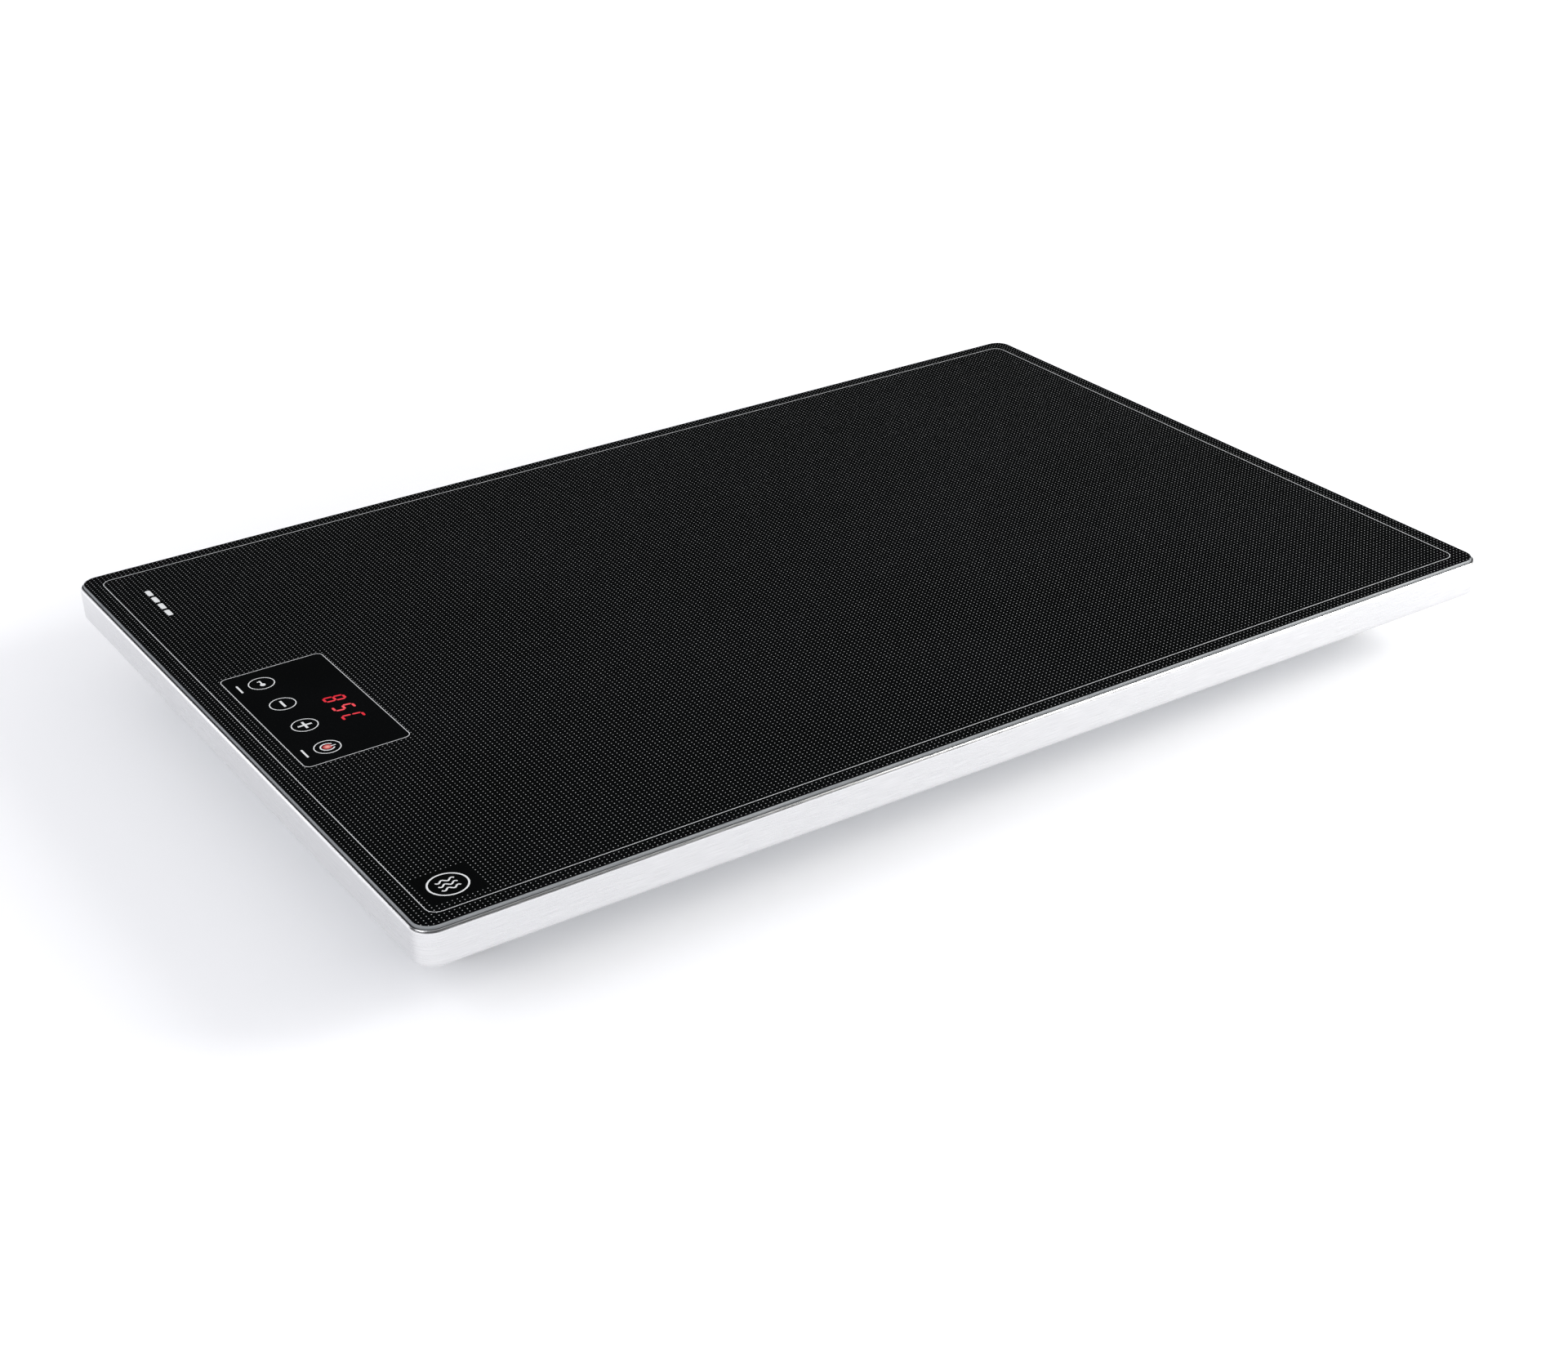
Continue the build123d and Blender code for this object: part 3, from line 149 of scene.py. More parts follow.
@dataclass(frozen=True)
class Face:
    """A material while it is built: its tree, its Principled node and the Object coordinates."""

    tree: bpy.types.NodeTree
    surface: bpy.types.Node
    place: bpy.types.NodeSocket

    def node(self, kind: str, links: dict[Any, Any], **settings: Any) -> bpy.types.Node:
        """Adds a node to the tree.

        Args:
            kind: the node's type name.
            links: what its inputs get, as for add_node.
            settings: the node's own settings.

        Returns:
            The new node.
        """
        return add_node(self.tree, kind, links, **settings)

    def vector(self, operation: str, *sources: Any) -> bpy.types.Node:
        """Adds a vector sum.

        Args:
            operation: the sum's name.
            sources: its inputs, in order.

        Returns:
            The sum's node.
        """
        return self.node("ShaderNodeVectorMath", dict(enumerate(sources)), operation=operation)

    def number(self, operation: str, *sources: Any) -> bpy.types.Node:
        """Adds a plain sum.

        Args:
            operation: the sum's name.
            sources: its inputs, in order.

        Returns:
            The sum's node.
        """
        return self.node("ShaderNodeMath", dict(enumerate(sources)), operation=operation)

    def fix(self, **values: float | Colour) -> None:
        """Sets uniform values on the surface.

        Args:
            values: each value by its input's name, with _ for the spaces.
        """
        for name, value in values.items():
            self.surface.inputs[name.replace("_", " ")].default_value = value

    def feed(self, target: str, source: bpy.types.Node | bpy.types.NodeSocket) -> None:
        """Links a node or a socket to one of the surface's inputs.

        Args:
            target: the input's name.
            source: the socket, or the node whose first output is used.
        """
        socket = source.outputs[0] if isinstance(source, bpy.types.Node) else source
        self.tree.links.new(socket, self.surface.inputs[target])

    def fed(self, target: str) -> bpy.types.NodeSocket:
        """Finds what feeds one of the surface's inputs so far.

        Args:
            target: the input's name.

        Returns:
            The socket linked to it.
        """
        return self.surface.inputs[target].links[0].from_socket

    def paint(self, share: Any, under: Any, over: str, target: str = "Base Color") -> None:
        """Colours the surface by mixing two tones.

        Args:
            share: how much of the second tone there is.
            under: the first tone, as a hex colour or a socket.
            over: the second tone, as a hex colour.
            target: the input that gets the colour.
        """
        below = linear(under) if isinstance(under, str) else under
        tones = {0: share, MIX_A: below, MIX_B: linear(over)}
        self.feed(target, self.node("ShaderNodeMix", tones, data_type="RGBA").outputs[MIX_OUT])

    def emboss(self, height: Any, depth_mm: float) -> None:
        """Raises the surface by a pattern.

        Args:
            height: the pattern, from 0 to 1.
            depth_mm: how far its highest places stand out.
        """
        relief = {"Height": height, "Strength": 1.0, "Distance": depth_mm * MM}
        self.feed("Normal", self.node("ShaderNodeBump", relief))

    def mottle(
        self,
        size_mm: float,
        tones: tuple[str, str],
        gloss: tuple[float, float],
        relief_mm: float,
        grain: Grain = Grain.EVEN,
    ) -> None:
        """Gives the surface uneven tone, roughness and relief, all from one noise of a real size.

        Args:
            size_mm: the size of the noise's patches.
            tones: the two sRGB colours between which the tone drifts.
            gloss: the lowest and the highest roughness.
            relief_mm: how deep the relief is, or 0 for none.
            grain: which way the patches are drawn out.
        """
        stretch = Vector(grain.value) / (size_mm * MM)
        spread = self.node("ShaderNodeMapping", {"Vector": self.place, "Scale": stretch})
        noise = self.node("ShaderNodeTexNoise", {"Vector": spread, "Scale": 1.0, "Detail": 3.0})
        even = span(self.tree, noise, (0.3, 0.7))
        self.paint(even, *tones)
        self.feed("Roughness", span(self.tree, even, target=gloss))
        if relief_mm:
            self.emboss(even, relief_mm)


@dataclass(frozen=True)
class Finish(ABC):
    """A surface finish named for the stuff it is; its material is made once and shared."""

    name: str

    def material(self) -> bpy.types.Material:
        """Returns this finish's material, made on the first call."""
        made = bpy.data.materials.get(self.name)
        if made is None:
            made = bpy.data.materials.new(self.name)
            made.use_nodes = True
            tree = made.node_tree
            tree.nodes.clear()
            surface = add_node(tree, "ShaderNodeBsdfPrincipled")
            self.shade(Face(tree, surface, add_node(tree, "ShaderNodeTexCoord").outputs["Object"]))
            add_node(tree, "ShaderNodeOutputMaterial", {"Surface": surface})
        return made

    @abstractmethod
    def shade(self, face: Face) -> None:
        """Builds the finish's nodes.

        Args:
            face: the fresh surface.
        """


@dataclass(frozen=True)
class Zone:
    """A rectangle on the glass that the dot print leaves bare, in metres."""

    centre: Point
    half: Point

    def clear(self, face: Face, mask: bpy.types.Node) -> bpy.types.Node:
        """Clears a mask inside the rectangle.

        Args:
            face: the surface being built.
            mask: the mask so far.

        Returns:
            The mask with the rectangle cleared.
        """
        folded = face.vector("ABSOLUTE", face.vector("SUBTRACT", face.place, (*self.centre, 0.0)))
        past = face.vector("SUBTRACT", folded, (*self.half, 1.0))
        split = face.node("ShaderNodeSeparateXYZ", {0: past})
        outside = face.number("MAXIMUM", split.outputs[0], split.outputs[1])
        return face.number("MULTIPLY", mask, face.number("GREATER_THAN", outside, 0.0))


@dataclass(frozen=True)
class DottedGlass(Finish):
    """Toughened float glass, black-printed on its back, with a lattice of pale ceramic dots.

    The face is all but black and mirror-smooth with faint wiping marks, and the dots are small,
    soft-edged and not quite evenly dense, as a screen print is.
    """

    pitch: float = 2.22 * MM
    dot: float = 0.25 * MM
    dot_tone: str = "C0C1C2"
    density: tuple[float, float] = (0.6, 1.0)
    bare: tuple[Zone, ...] = ()

    def shade(self, face: Face) -> None:
        """Builds the black face, then lays the dots over it outside the bare zones."""
        face.mottle(70.0, ("060707", "08090A"), (0.05, 0.11), 0.0)
        face.fix(IOR=GLASS_IOR)
        cells = face.vector("MULTIPLY", face.place, (1.0 / self.pitch,) * 3)
        offset = face.vector("SUBTRACT", face.vector("FRACTION", cells), (0.5, 0.5, 0.0))
        reach = face.vector("LENGTH", face.vector("MULTIPLY", offset, (1.0, 1.0, 0.0)))
        radius = self.dot / self.pitch
        mask = span(face.tree, reach.outputs["Value"], (radius * 1.25, radius * 0.75), soft=True)
        for zone in self.bare:
            mask = zone.clear(face, mask)
        # one density per dot: the lattice cell's own number picks it
        cell = face.vector("FLOOR", cells)
        lot = face.node("ShaderNodeTexWhiteNoise", {"Vector": cell}, noise_dimensions="2D")
        cover = face.number("MULTIPLY", mask, span(face.tree, lot, target=self.density))
        face.paint(cover, face.fed("Base Color"), self.dot_tone)


@dataclass(frozen=True)
class GroundGlass(Finish):
    """Pencil-ground glass edge: wheel-ground to a pale satin grey that scatters the light."""

    def shade(self, face: Face) -> None:
        """Builds a pale grey satin with level wheel marks."""
        face.mottle(0.35, ("74777A", "979A9C"), (0.3, 0.45), 0.01, Grain.LEVEL)
        face.fix(IOR=GLASS_IOR)


@dataclass(frozen=True)
class CeramicInk(Finish):
    """Fired ceramic ink: opaque, faintly grainy, and a little glossier than paint."""

    tone: str = "F2F3F3"
    shade_tone: str = "E4E6E7"

    def shade(self, face: Face) -> None:
        """Builds a pale ink with a fine screen grain."""
        face.mottle(0.3, (self.shade_tone, self.tone), (0.3, 0.45), 0.004)


@dataclass(frozen=True)
class WorkedMetal(Finish):
    """Rolled, brushed or plated metal: fine streaks or grain in tone and gloss, and faint dulling.

    The streak size is wider than a real 180-grit belt leaves, so that it shows at arm's length.
    """

    tones: tuple[str, str] = ("D6D6D7", "E5E5E6")
    gloss: tuple[float, float] = (0.24, 0.34)
    streak_mm: float = 0.25
    relief_mm: float = 0.002
    grain: Grain = Grain.LEVEL

    def shade(self, face: Face) -> None:
        """Builds the streaked metal, then dulls it in broad, soft handling patches."""
        face.mottle(self.streak_mm, self.tones, self.gloss, self.relief_mm, self.grain)
        face.fix(Metallic=1.0)
        patches = face.node("ShaderNodeTexNoise", {"Vector": face.place, "Scale": 18.0, "Detail": 2.0})
        dull = span(face.tree, patches, (0.45, 0.75), (0.0, 0.07))
        face.feed("Roughness", face.number("ADD", face.fed("Roughness"), dull))


@dataclass(frozen=True)
class Galvanised(Finish):
    """Hot-dip galvanised sheet: zinc crystals about a centimetre across, each with its own tone."""

    spangle_mm: float = 8.0
    ragged_mm: float = 1.6

    def shade(self, face: Face) -> None:
        """Builds the crystals from a cell pattern whose borders a noise makes ragged."""
        face.fix(Metallic=1.0)
        ragged = face.node("ShaderNodeTexNoise", {"Vector": face.place, "Scale": 260.0, "Detail": 3.0})
        shift = face.vector("MULTIPLY", ragged.outputs["Color"], (self.ragged_mm * MM,) * 3)
        crystals = face.node(
            "ShaderNodeTexVoronoi",
            {"Vector": face.vector("ADD", face.place, shift), "Scale": 1.0 / (self.spangle_mm * MM)},
        )
        lot = face.node("ShaderNodeSeparateColor", {0: crystals.outputs["Color"]})
        face.paint(lot.outputs[0], "9DA3A8", "C3C8CC")
        face.feed("Roughness", span(face.tree, lot.outputs[1], target=(0.3, 0.52)))
        face.emboss(lot.outputs[2], 0.01)


@dataclass(frozen=True)
class Moulding(Finish):
    """Injection-moulded plastic: a fine spark-eroded texture and slightly uneven gloss."""

    tones: tuple[str, str] = ("1B1C1E", "232427")
    gloss: tuple[float, float] = (0.42, 0.58)
    texture_mm: float = 0.5
    relief_mm: float = 0.012

    def shade(self, face: Face) -> None:
        """Builds the textured plastic."""
        face.mottle(self.texture_mm, self.tones, self.gloss, self.relief_mm)
        face.fix(IOR=1.5)


@dataclass(frozen=True)
class Elastomer(Finish):
    """Rubber or silicone: dull, soft-lit at grazing angles, with a bloom of paler dust."""

    tones: tuple[str, str] = ("161617", "222223")
    gloss: tuple[float, float] = (0.6, 0.8)
    grain_mm: float = 1.2
    relief_mm: float = 0.02

    def shade(self, face: Face) -> None:
        """Builds the dull skin with a slight sheen."""
        face.mottle(self.grain_mm, self.tones, self.gloss, self.relief_mm)
        face.fix(IOR=1.45, Sheen_Weight=0.15)


@dataclass(frozen=True)
class ClothMat(Finish):
    """Glass-cloth-reinforced silicone sheet: brick red, with the cloth's weave pressed into it."""

    thread_mm: float = 1.1
    # a band texture's scale is one over this share of its bands' width
    band_share: float = 6.4

    def shade(self, face: Face) -> None:
        """Builds the silicone, then presses crossed threads into its relief."""
        face.mottle(6.0, ("9C4428", "B65A38"), (0.55, 0.7), 0.01)
        scale = 1.0 / (self.thread_mm * MM * self.band_share)
        threads = [
            face.node("ShaderNodeTexWave", {"Vector": face.place, "Scale": scale}, bands_direction=axis)
            for axis in ("X", "Y")
        ]
        face.emboss(face.number("ADD", *threads), 0.05)


@dataclass(frozen=True)
class FibreBoard(Finish):
    """Vacuum-formed ceramic fibre: chalk white, matted and soft, with darker shot in it."""

    def shade(self, face: Face) -> None:
        """Builds the matted fibre with scattered specks."""
        face.mottle(1.6, ("E3DFD4", "F3F1EA"), (0.9, 1.0), 0.2)
        specks = face.node("ShaderNodeTexVoronoi", {"Vector": face.place, "Scale": 160.0})
        mask = span(face.tree, specks.outputs["Distance"], (0.16, 0.08))
        face.paint(mask, face.fed("Base Color"), "A79F90")


@dataclass(frozen=True)
class CircuitBoard(Finish):
    """Solder-masked glass-epoxy board: glossy green over paler copper tracks, 1 mm wide."""

    track_mm: float = 5.0

    def shade(self, face: Face) -> None:
        """Builds the mask and the tracks that show through it."""
        face.mottle(3.0, ("12482C", "17583A"), (0.22, 0.32), 0.004)
        scale = 1.0 / (self.track_mm * MM)
        sizes = {"Scale": scale, "Mortar Size": 0.1, "Brick Width": 1.7, "Row Height": 0.6}
        tracks = face.node("ShaderNodeTexBrick", {"Vector": face.place, **sizes})
        face.paint(tracks.outputs["Fac"], face.fed("Base Color"), "2E7A4C")


@dataclass(frozen=True)
class Winding(Finish):
    """Enamelled copper wound in close turns: amber metal with a shadow between the turns."""

    turn_mm: float = 0.3
    # a band texture's scale is one over this share of its bands' width
    band_share: float = 6.3

    def shade(self, face: Face) -> None:
        """Builds the copper and rounds each turn in relief."""
        face.mottle(2.0, ("A8582C", "C9773F"), (0.2, 0.32), 0.0)
        face.fix(Metallic=1.0)
        scale = 1.0 / (self.turn_mm * MM * self.band_share)
        turns = face.node(
            "ShaderNodeTexWave", {"Vector": face.place, "Scale": scale}, bands_direction="X"
        )
        face.emboss(turns, 0.08)


@dataclass(frozen=True)
class Sheath(Finish):
    """Wire insulation: smooth extruded skin, or a braid of glass yarn in crossing diagonals."""

    tones: tuple[str, str] = ("E6E4DE", "F0EEE8")
    braided: bool = False

    def shade(self, face: Face) -> None:
        """Builds the skin, and the braid's relief where there is one."""
        face.mottle(1.5, self.tones, (0.4, 0.55), 0.01)
        if self.braided:
            cells = face.node("ShaderNodeTexChecker", {"Vector": face.place, "Scale": 1400.0})
            face.emboss(cells.outputs["Fac"], 0.08)
            face.fix(Sheen_Weight=0.3)


@dataclass(frozen=True)
class ClearTube(Finish):
    """Drawn fuse glass: clear, with a thin wall's slight green."""

    def shade(self, face: Face) -> None:
        """Builds a clear glass with faint drawing lines."""
        face.mottle(0.4, ("E9F2EE", "F4FAF7"), (0.02, 0.06), 0.001, Grain.ALONG_X)
        face.fix(Transmission_Weight=0.9, IOR=1.47)


@dataclass(frozen=True)
class Lit(Finish):
    """A lit red window: the light is strongest at its middle and falls off to its rim."""

    core: str = "FF6A70"
    rim: str = "D01A2A"
    centre: Spot = (0.0, 0.0, 0.0)
    reach_mm: float = 6.0
    strength: float = 1.0

    def shade(self, face: Face) -> None:
        """Builds a dull red cover that glows from its middle outwards."""
        face.mottle(0.6, ("2A0608", "3A0A0D"), (0.25, 0.4), 0.003)
        away = face.vector("DISTANCE", face.place, self.centre)
        share = span(face.tree, away.outputs["Value"], (0.0, self.reach_mm * MM), soft=True)
        face.paint(share, self.core, self.rim, "Emission Color")
        face.fix(Emission_Strength=self.strength)


@dataclass(frozen=True)
class LightTableWithPaintedShadow(Finish):
    """Pale acrylic lit from below, its glow dimmed round the middle as a painted shadow under what stands
    there.
    """

    tone: str = "E8E8EA"
    light: str = "F5F5F7"
    # the glow at the middle and far out; the lower one is a painted shadow under the plate
    glow: tuple[float, float] = (0.26, 0.8)
    # the distances from the middle between which the painted shadow fades out
    reach: tuple[float, float] = (0.34, 0.75)

    def shade(self, face: Face) -> None:
        """Builds a dull, glowing sheet whose glow is dimmed round the middle as a painted shadow."""
        face.fix(Roughness=0.9, Specular_IOR_Level=0.0)
        face.fix(Base_Color=linear(self.tone), Emission_Color=linear(self.light))
        # the glow dims towards the middle: a painted shadow round what stands on the table
        away = face.vector("LENGTH", face.place)
        glow = span(face.tree, away.outputs["Value"], self.reach, self.glow, soft=True)
        face.feed("Emission Strength", glow)


GROUND_EDGE = GroundGlass("ground_glass_edge")
BACK_PRINT = CeramicInk("black_back_print", "141516", "0E0F10")
WHITE_INK = CeramicInk("white_ceramic_ink")
GREY_INK = CeramicInk("pale_grey_ceramic_ink", "DCDDDE", "CFD0D1")
SATIN_STEEL = WorkedMetal("satin_stainless_steel")
ZINC_PLATE = WorkedMetal("bright_zinc_plate", ("B4BAC2", "CDD2D8"), (0.2, 0.32), 0.4, 0.002, Grain.EVEN)
RIVET_ALLOY = WorkedMetal("rivet_aluminium", ("C4C6C8", "D8DADC"), (0.3, 0.42), 0.4, 0.003, Grain.EVEN)
FOOT_RUBBER = Elastomer("black_nitrile_rubber")

# what each of the frame's material slots is made of
SLOT_FINISHES: dict[str, Finish] = {
    "tempered_glass": BACK_PRINT,
    "silicone_bond": Elastomer("black_silicone_bead", ("0E0F10", "17181A"), (0.4, 0.55), 0.8, 0.01),
    "stainless_rim": SATIN_STEEL,
    "galvanised_pan": Galvanised("galvanised_sheet"),
    "zinc_steel": ZINC_PLATE,
    "rubber_foot": FOOT_RUBBER,
    "aluminium_sheet": WorkedMetal(
        "mill_aluminium", ("C6C9CC", "DDDFE1"), (0.26, 0.4), 0.5, 0.002, Grain.ALONG_Y
    ),
    "silicone_mat": ClothMat("red_silicone_cloth_mat"),
    "heating_foil": WorkedMetal(
        "etched_heating_foil", ("9C9486", "B7AF9F"), (0.34, 0.5), 0.6, 0.003, Grain.EVEN
    ),
    "ceramic_fibre": FibreBoard("ceramic_fibre_board"),
    "ceramic_white": Moulding("glazed_alumina", ("E9E6DD", "F4F2EB"), (0.12, 0.22), 1.5, 0.004),
    "bimetal": WorkedMetal(
        "bimetal_strip", ("A8916A", "C2AB82"), (0.26, 0.4), 0.4, 0.002, Grain.ALONG_X
    ),
    "phenolic_black": Moulding("black_phenolic", ("1A1614", "29221E"), (0.35, 0.55), 2.0, 0.01),
    "button_red": Moulding("red_nylon", ("A51F18", "BC2C22"), (0.35, 0.5)),
    "brass_tab": WorkedMetal("tinned_brass", ("BFA566", "D6C08A"), (0.24, 0.38), 0.5, 0.002, Grain.EVEN),
    "moulded_black": Moulding("black_glass_filled_nylon"),
    "moulded_grey": Moulding("grey_abs", ("74787B", "85898C"), (0.4, 0.55)),
    "moulded_green": Moulding("green_polyamide", ("1F7A3D", "2A8D4A"), (0.38, 0.5)),
    "fr4_green": CircuitBoard("green_solder_mask"),
    "conductive_foam": Elastomer("carbon_loaded_foam", ("222225", "37373B"), (0.85, 0.98), 0.7, 0.12),
    "led_red": Lit("red_diffused_led", reach_mm=400.0, strength=0.6),
    "epoxy_black": Moulding("black_epoxy", ("131315", "1D1D20"), (0.45, 0.6), 0.7, 0.006),
    "nylon_white": Moulding("natural_nylon", ("DAD7CC", "E8E5DB"), (0.38, 0.5)),
    "fuse_glass": ClearTube("fuse_glass_tube"),
    "capacitor_yellow": Moulding("yellow_flame_retardant_case", ("C99A1C", "DBAC2C"), (0.34, 0.46)),
    "capacitor_sleeve": Moulding("shrunk_pvc_sleeve", ("16233F", "1E2E50"), (0.2, 0.32), 1.4, 0.006),
    "copper_wire": Winding("enamelled_copper_turns"),
    "magnet_iron": WorkedMetal(
        "soft_magnet_iron", ("8E9094", "A6A8AC"), (0.34, 0.48), 0.4, 0.003, Grain.EVEN
    ),
    "relay_case": Moulding("relay_cover_polycarbonate", ("203A6B", "2A4880"), (0.2, 0.34)),
    "wire_brown": Sheath("brown_wire_skin", ("4F2C1A", "623A24")),
    "wire_glassfibre": Sheath("glass_braid_sleeve", ("D9D6CA", "EFECE2"), True),
    "wire_white": Sheath("white_wire_skin"),
    "wire_grey": Sheath("grey_ribbon_skin", ("8B8E90", "A0A3A5")),
}


# ---------------------------------------------------------------- mesh helpers


def soften(
    corners: Sequence[Spot], steps: int, hold: float = 0.0
) -> list[Point]:
    """Rounds the corners of a profile.

    Args:
        corners: each corner's two coordinates and the radius it is rounded to, or 0 to keep it.
        steps: how many flats each arc has.
        hold: how far beyond each arc's ends an extra point keeps the flats flat, or 0 for none.

    Returns:
        The profile's points in order. The first and last corners are kept as they are.
    """
    points: list[Point] = [corners[0][:2]]
    for before, here, after in zip(corners, corners[1:], corners[2:]):
        corner = Vector(here[:2])
        if here[2] <= 0:
            points.append(here[:2])
            continue
        back = (Vector(before[:2]) - corner).normalized()
        on = (Vector(after[:2]) - corner).normalized()
        opening = back.angle(on)
        reach = here[2] / math.tan(opening / 2)
        centre = corner + (back + on).normalized() * here[2] / math.sin(opening / 2)
        start = corner + back * reach - centre
        sweep = (math.pi - opening) * (1 if back.x * on.y - back.y * on.x < 0 else -1)
        if hold:
            points.append(tuple(corner + back * (reach + hold)))
        for step in range(steps + 1):
            turned = Matrix.Rotation(sweep * step / steps, 2) @ start
            points.append(tuple(centre + turned))
        if hold:
            points.append(tuple(corner + on * (reach + hold)))
    points.append(corners[-1][:2])
    return points


def rounded_ring(
    size: Point, radius: float, height: float, centre: Point = (0.0, 0.0), steps: int = 10
) -> list[Vector]:
    """Points round a rounded rectangle, anticlockwise seen from above.

    Args:
        size: its whole width and depth.
        radius: its corner radius.
        height: the level it lies at.
        centre: its middle.
        steps: how many flats each corner has.

    Returns:
        The ring's points.
    """
    ring: list[Vector] = []
    for corner, (side_x, side_y) in enumerate(((1, -1), (1, 1), (-1, 1), (-1, -1))):
        for step in range(steps + 1):
            angle = math.pi / 2 * (corner - 1 + step / steps)
            x = side_x * (size[0] / 2 - radius) + radius * math.cos(angle)
            y = side_y * (size[1] / 2 - radius) + radius * math.sin(angle)
            ring.append(Vector((centre[0] + x, centre[1] + y, height)))
    return ring


def circle(radius: float, height: float, centre: Point = (0.0, 0.0), steps: int = 32) -> list[Vector]:
    """Points round a level circle, anticlockwise seen from above.

    Args:
        radius: its radius.
        height: the level it lies at.
        centre: its middle.
        steps: how many sides it has.

    Returns:
        The circle's points.
    """
    turns = (2 * math.pi * step / steps for step in range(steps))
    return [
        Vector((centre[0] + radius * math.cos(a), centre[1] + radius * math.sin(a), height))
        for a in turns
    ]


def new_object(name: str, data: bpy.types.ID) -> bpy.types.Object:
    """Puts a mesh, a camera or a lamp in the scene under a name, and returns its object."""
    made = bpy.data.objects.new(name, data)
    bpy.context.scene.collection.objects.link(made)
    return made


def skin(build: bmesh.types.BMesh, rings: Sequence[Sequence[Any]], closed: bool = False) -> None:
    """Adds one closed skin over rings of equal count.

    Args:
        build: the mesh that gets it.
        rings: the rings' points in order, each anticlockwise, going up where the skin faces out.
        closed: True joins the last ring to the first; False caps both ends.
    """
    rows = [[build.verts.new(point) for point in ring] for ring in rings]
    pairs = list(zip(rows, rows[1:])) + ([(rows[-1], rows[0])] if closed else [])
    for low, high in pairs:
        for k in range(len(low)):
            after = (k + 1) % len(low)
            build.faces.new((low[k], low[after], high[after], high[k]))
    if not closed:
        build.faces.new(list(reversed(rows[0])))
        build.faces.new(rows[-1])


def bridge(
    name: str, rings: Sequence[Sequence[Vector]], closed: bool = False, sharp_deg: float = 35.0
) -> bpy.types.Object:
    """Joins rings of equal count into one closed skin.

    Args:
        name: the new object's name.
        rings: the rings in order, each anticlockwise, going up where the skin faces out.
        closed: True joins the last ring to the first; False caps both ends.
        sharp_deg: edges that turn by more than this stay crisp.

    Returns:
        The object.
    """
    build = bmesh.new()
    skin(build, rings, closed)
    return finish_mesh(name, build, sharp_deg)


def finish_mesh(name: str, build: bmesh.types.BMesh, sharp_deg: float = 35.0) -> bpy.types.Object:
    """Turns a bmesh into a smooth-shaded object whose sharp edges stay crisp.

    Args:
        name: the new object's name.
        build: the bmesh, which is used up.
        sharp_deg: edges that turn by more than this stay crisp.

    Returns:
        The object.
    """
    mesh = bpy.data.meshes.new(name)
    build.to_mesh(mesh)
    build.free()
    mesh.shade_smooth()
    mesh.set_sharp_from_angle(angle=math.radians(sharp_deg))
    return new_object(name, mesh)


def lathe(name: str, profile: Sequence[Point], steps: int, sharp_deg: float = 35.0) -> bpy.types.Object:
    """Turns a profile about Z.

    Args:
        name: the new object's name.
        profile: radius and height in order, so that the skin is on the right of the way along it;
            it closes on itself, and may touch the axis only at its two ends.
        steps: how many sides the turned shape has.
        sharp_deg: edges that turn by more than this stay crisp.

    Returns:
        The object, with its poles merged.
    """
    rings = [circle(max(radius, 1e-9), height, steps=steps) for radius, height in profile]
    made = bridge(name, rings, closed=profile[0][0] != 0.0, sharp_deg=sharp_deg)
    build = bmesh.new()
    build.from_mesh(made.data)
    bmesh.ops.remove_doubles(build, verts=build.verts, dist=1e-7)
    bmesh.ops.dissolve_degenerate(build, edges=build.edges, dist=1e-7)
    build.to_mesh(made.data)
    build.free()
    made.data.set_sharp_from_angle(angle=math.radians(sharp_deg))
    return made


def prisms(
    name: str, outlines: Iterable[Sequence[Point]], base: float, depth: float, finish: Finish
) -> bpy.types.Object:
    """Raises flat outlines into thin closed prisms in one object.

    Args:
        name: the new object's name.
        outlines: the outlines, each anticlockwise seen from above.
        base: the height that they stand at.
        depth: how far they rise.
        finish: the object's finish.

    Returns:
        The object.
    """
    build = bmesh.new()
    for outline in outlines:
        skin(build, [[(x, y, z) for x, y in outline] for z in (base, base + depth)])
    made = finish_mesh(name, build)
    made.data.materials.append(finish.material())
    return made


def cross_outline(half: float, reach: float) -> list[Point]:
    """An upright cross, anticlockwise, about the origin.

    Args:
        half: half its bars' width.
        reach: half its bars' length.

    Returns:
        Its twelve corners.
    """
    points = [(half, -reach), (half, -half), (reach, -half)]
    for _ in range(3):
        points += [(-y, x) for x, y in points[-3:]]
    return points


def places_of(node: str, reach: float) -> list[Vector]:
    """Where the separate solids in a grouped CAD node stand.

    Args:
        node: the CAD node.
        reach: points nearer than this to a solid's first point, seen from above, belong to it.

    Returns:
        The middle of each solid's box, in the order the solids are met.
    """
    groups: list[list[Vector]] = []
    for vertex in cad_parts[node].data.vertices:
        for group in groups:
            if (vertex.co.xy - group[0].xy).length < reach:
                group.append(vertex.co.copy())
                break
        else:
            groups.append([vertex.co.copy()])
    return [
        Vector([(min(p[i] for p in g) + max(p[i] for p in g)) / 2 for i in range(3)]) for g in groups
    ]


# ---------------------------------------------------------------- geometry node trees


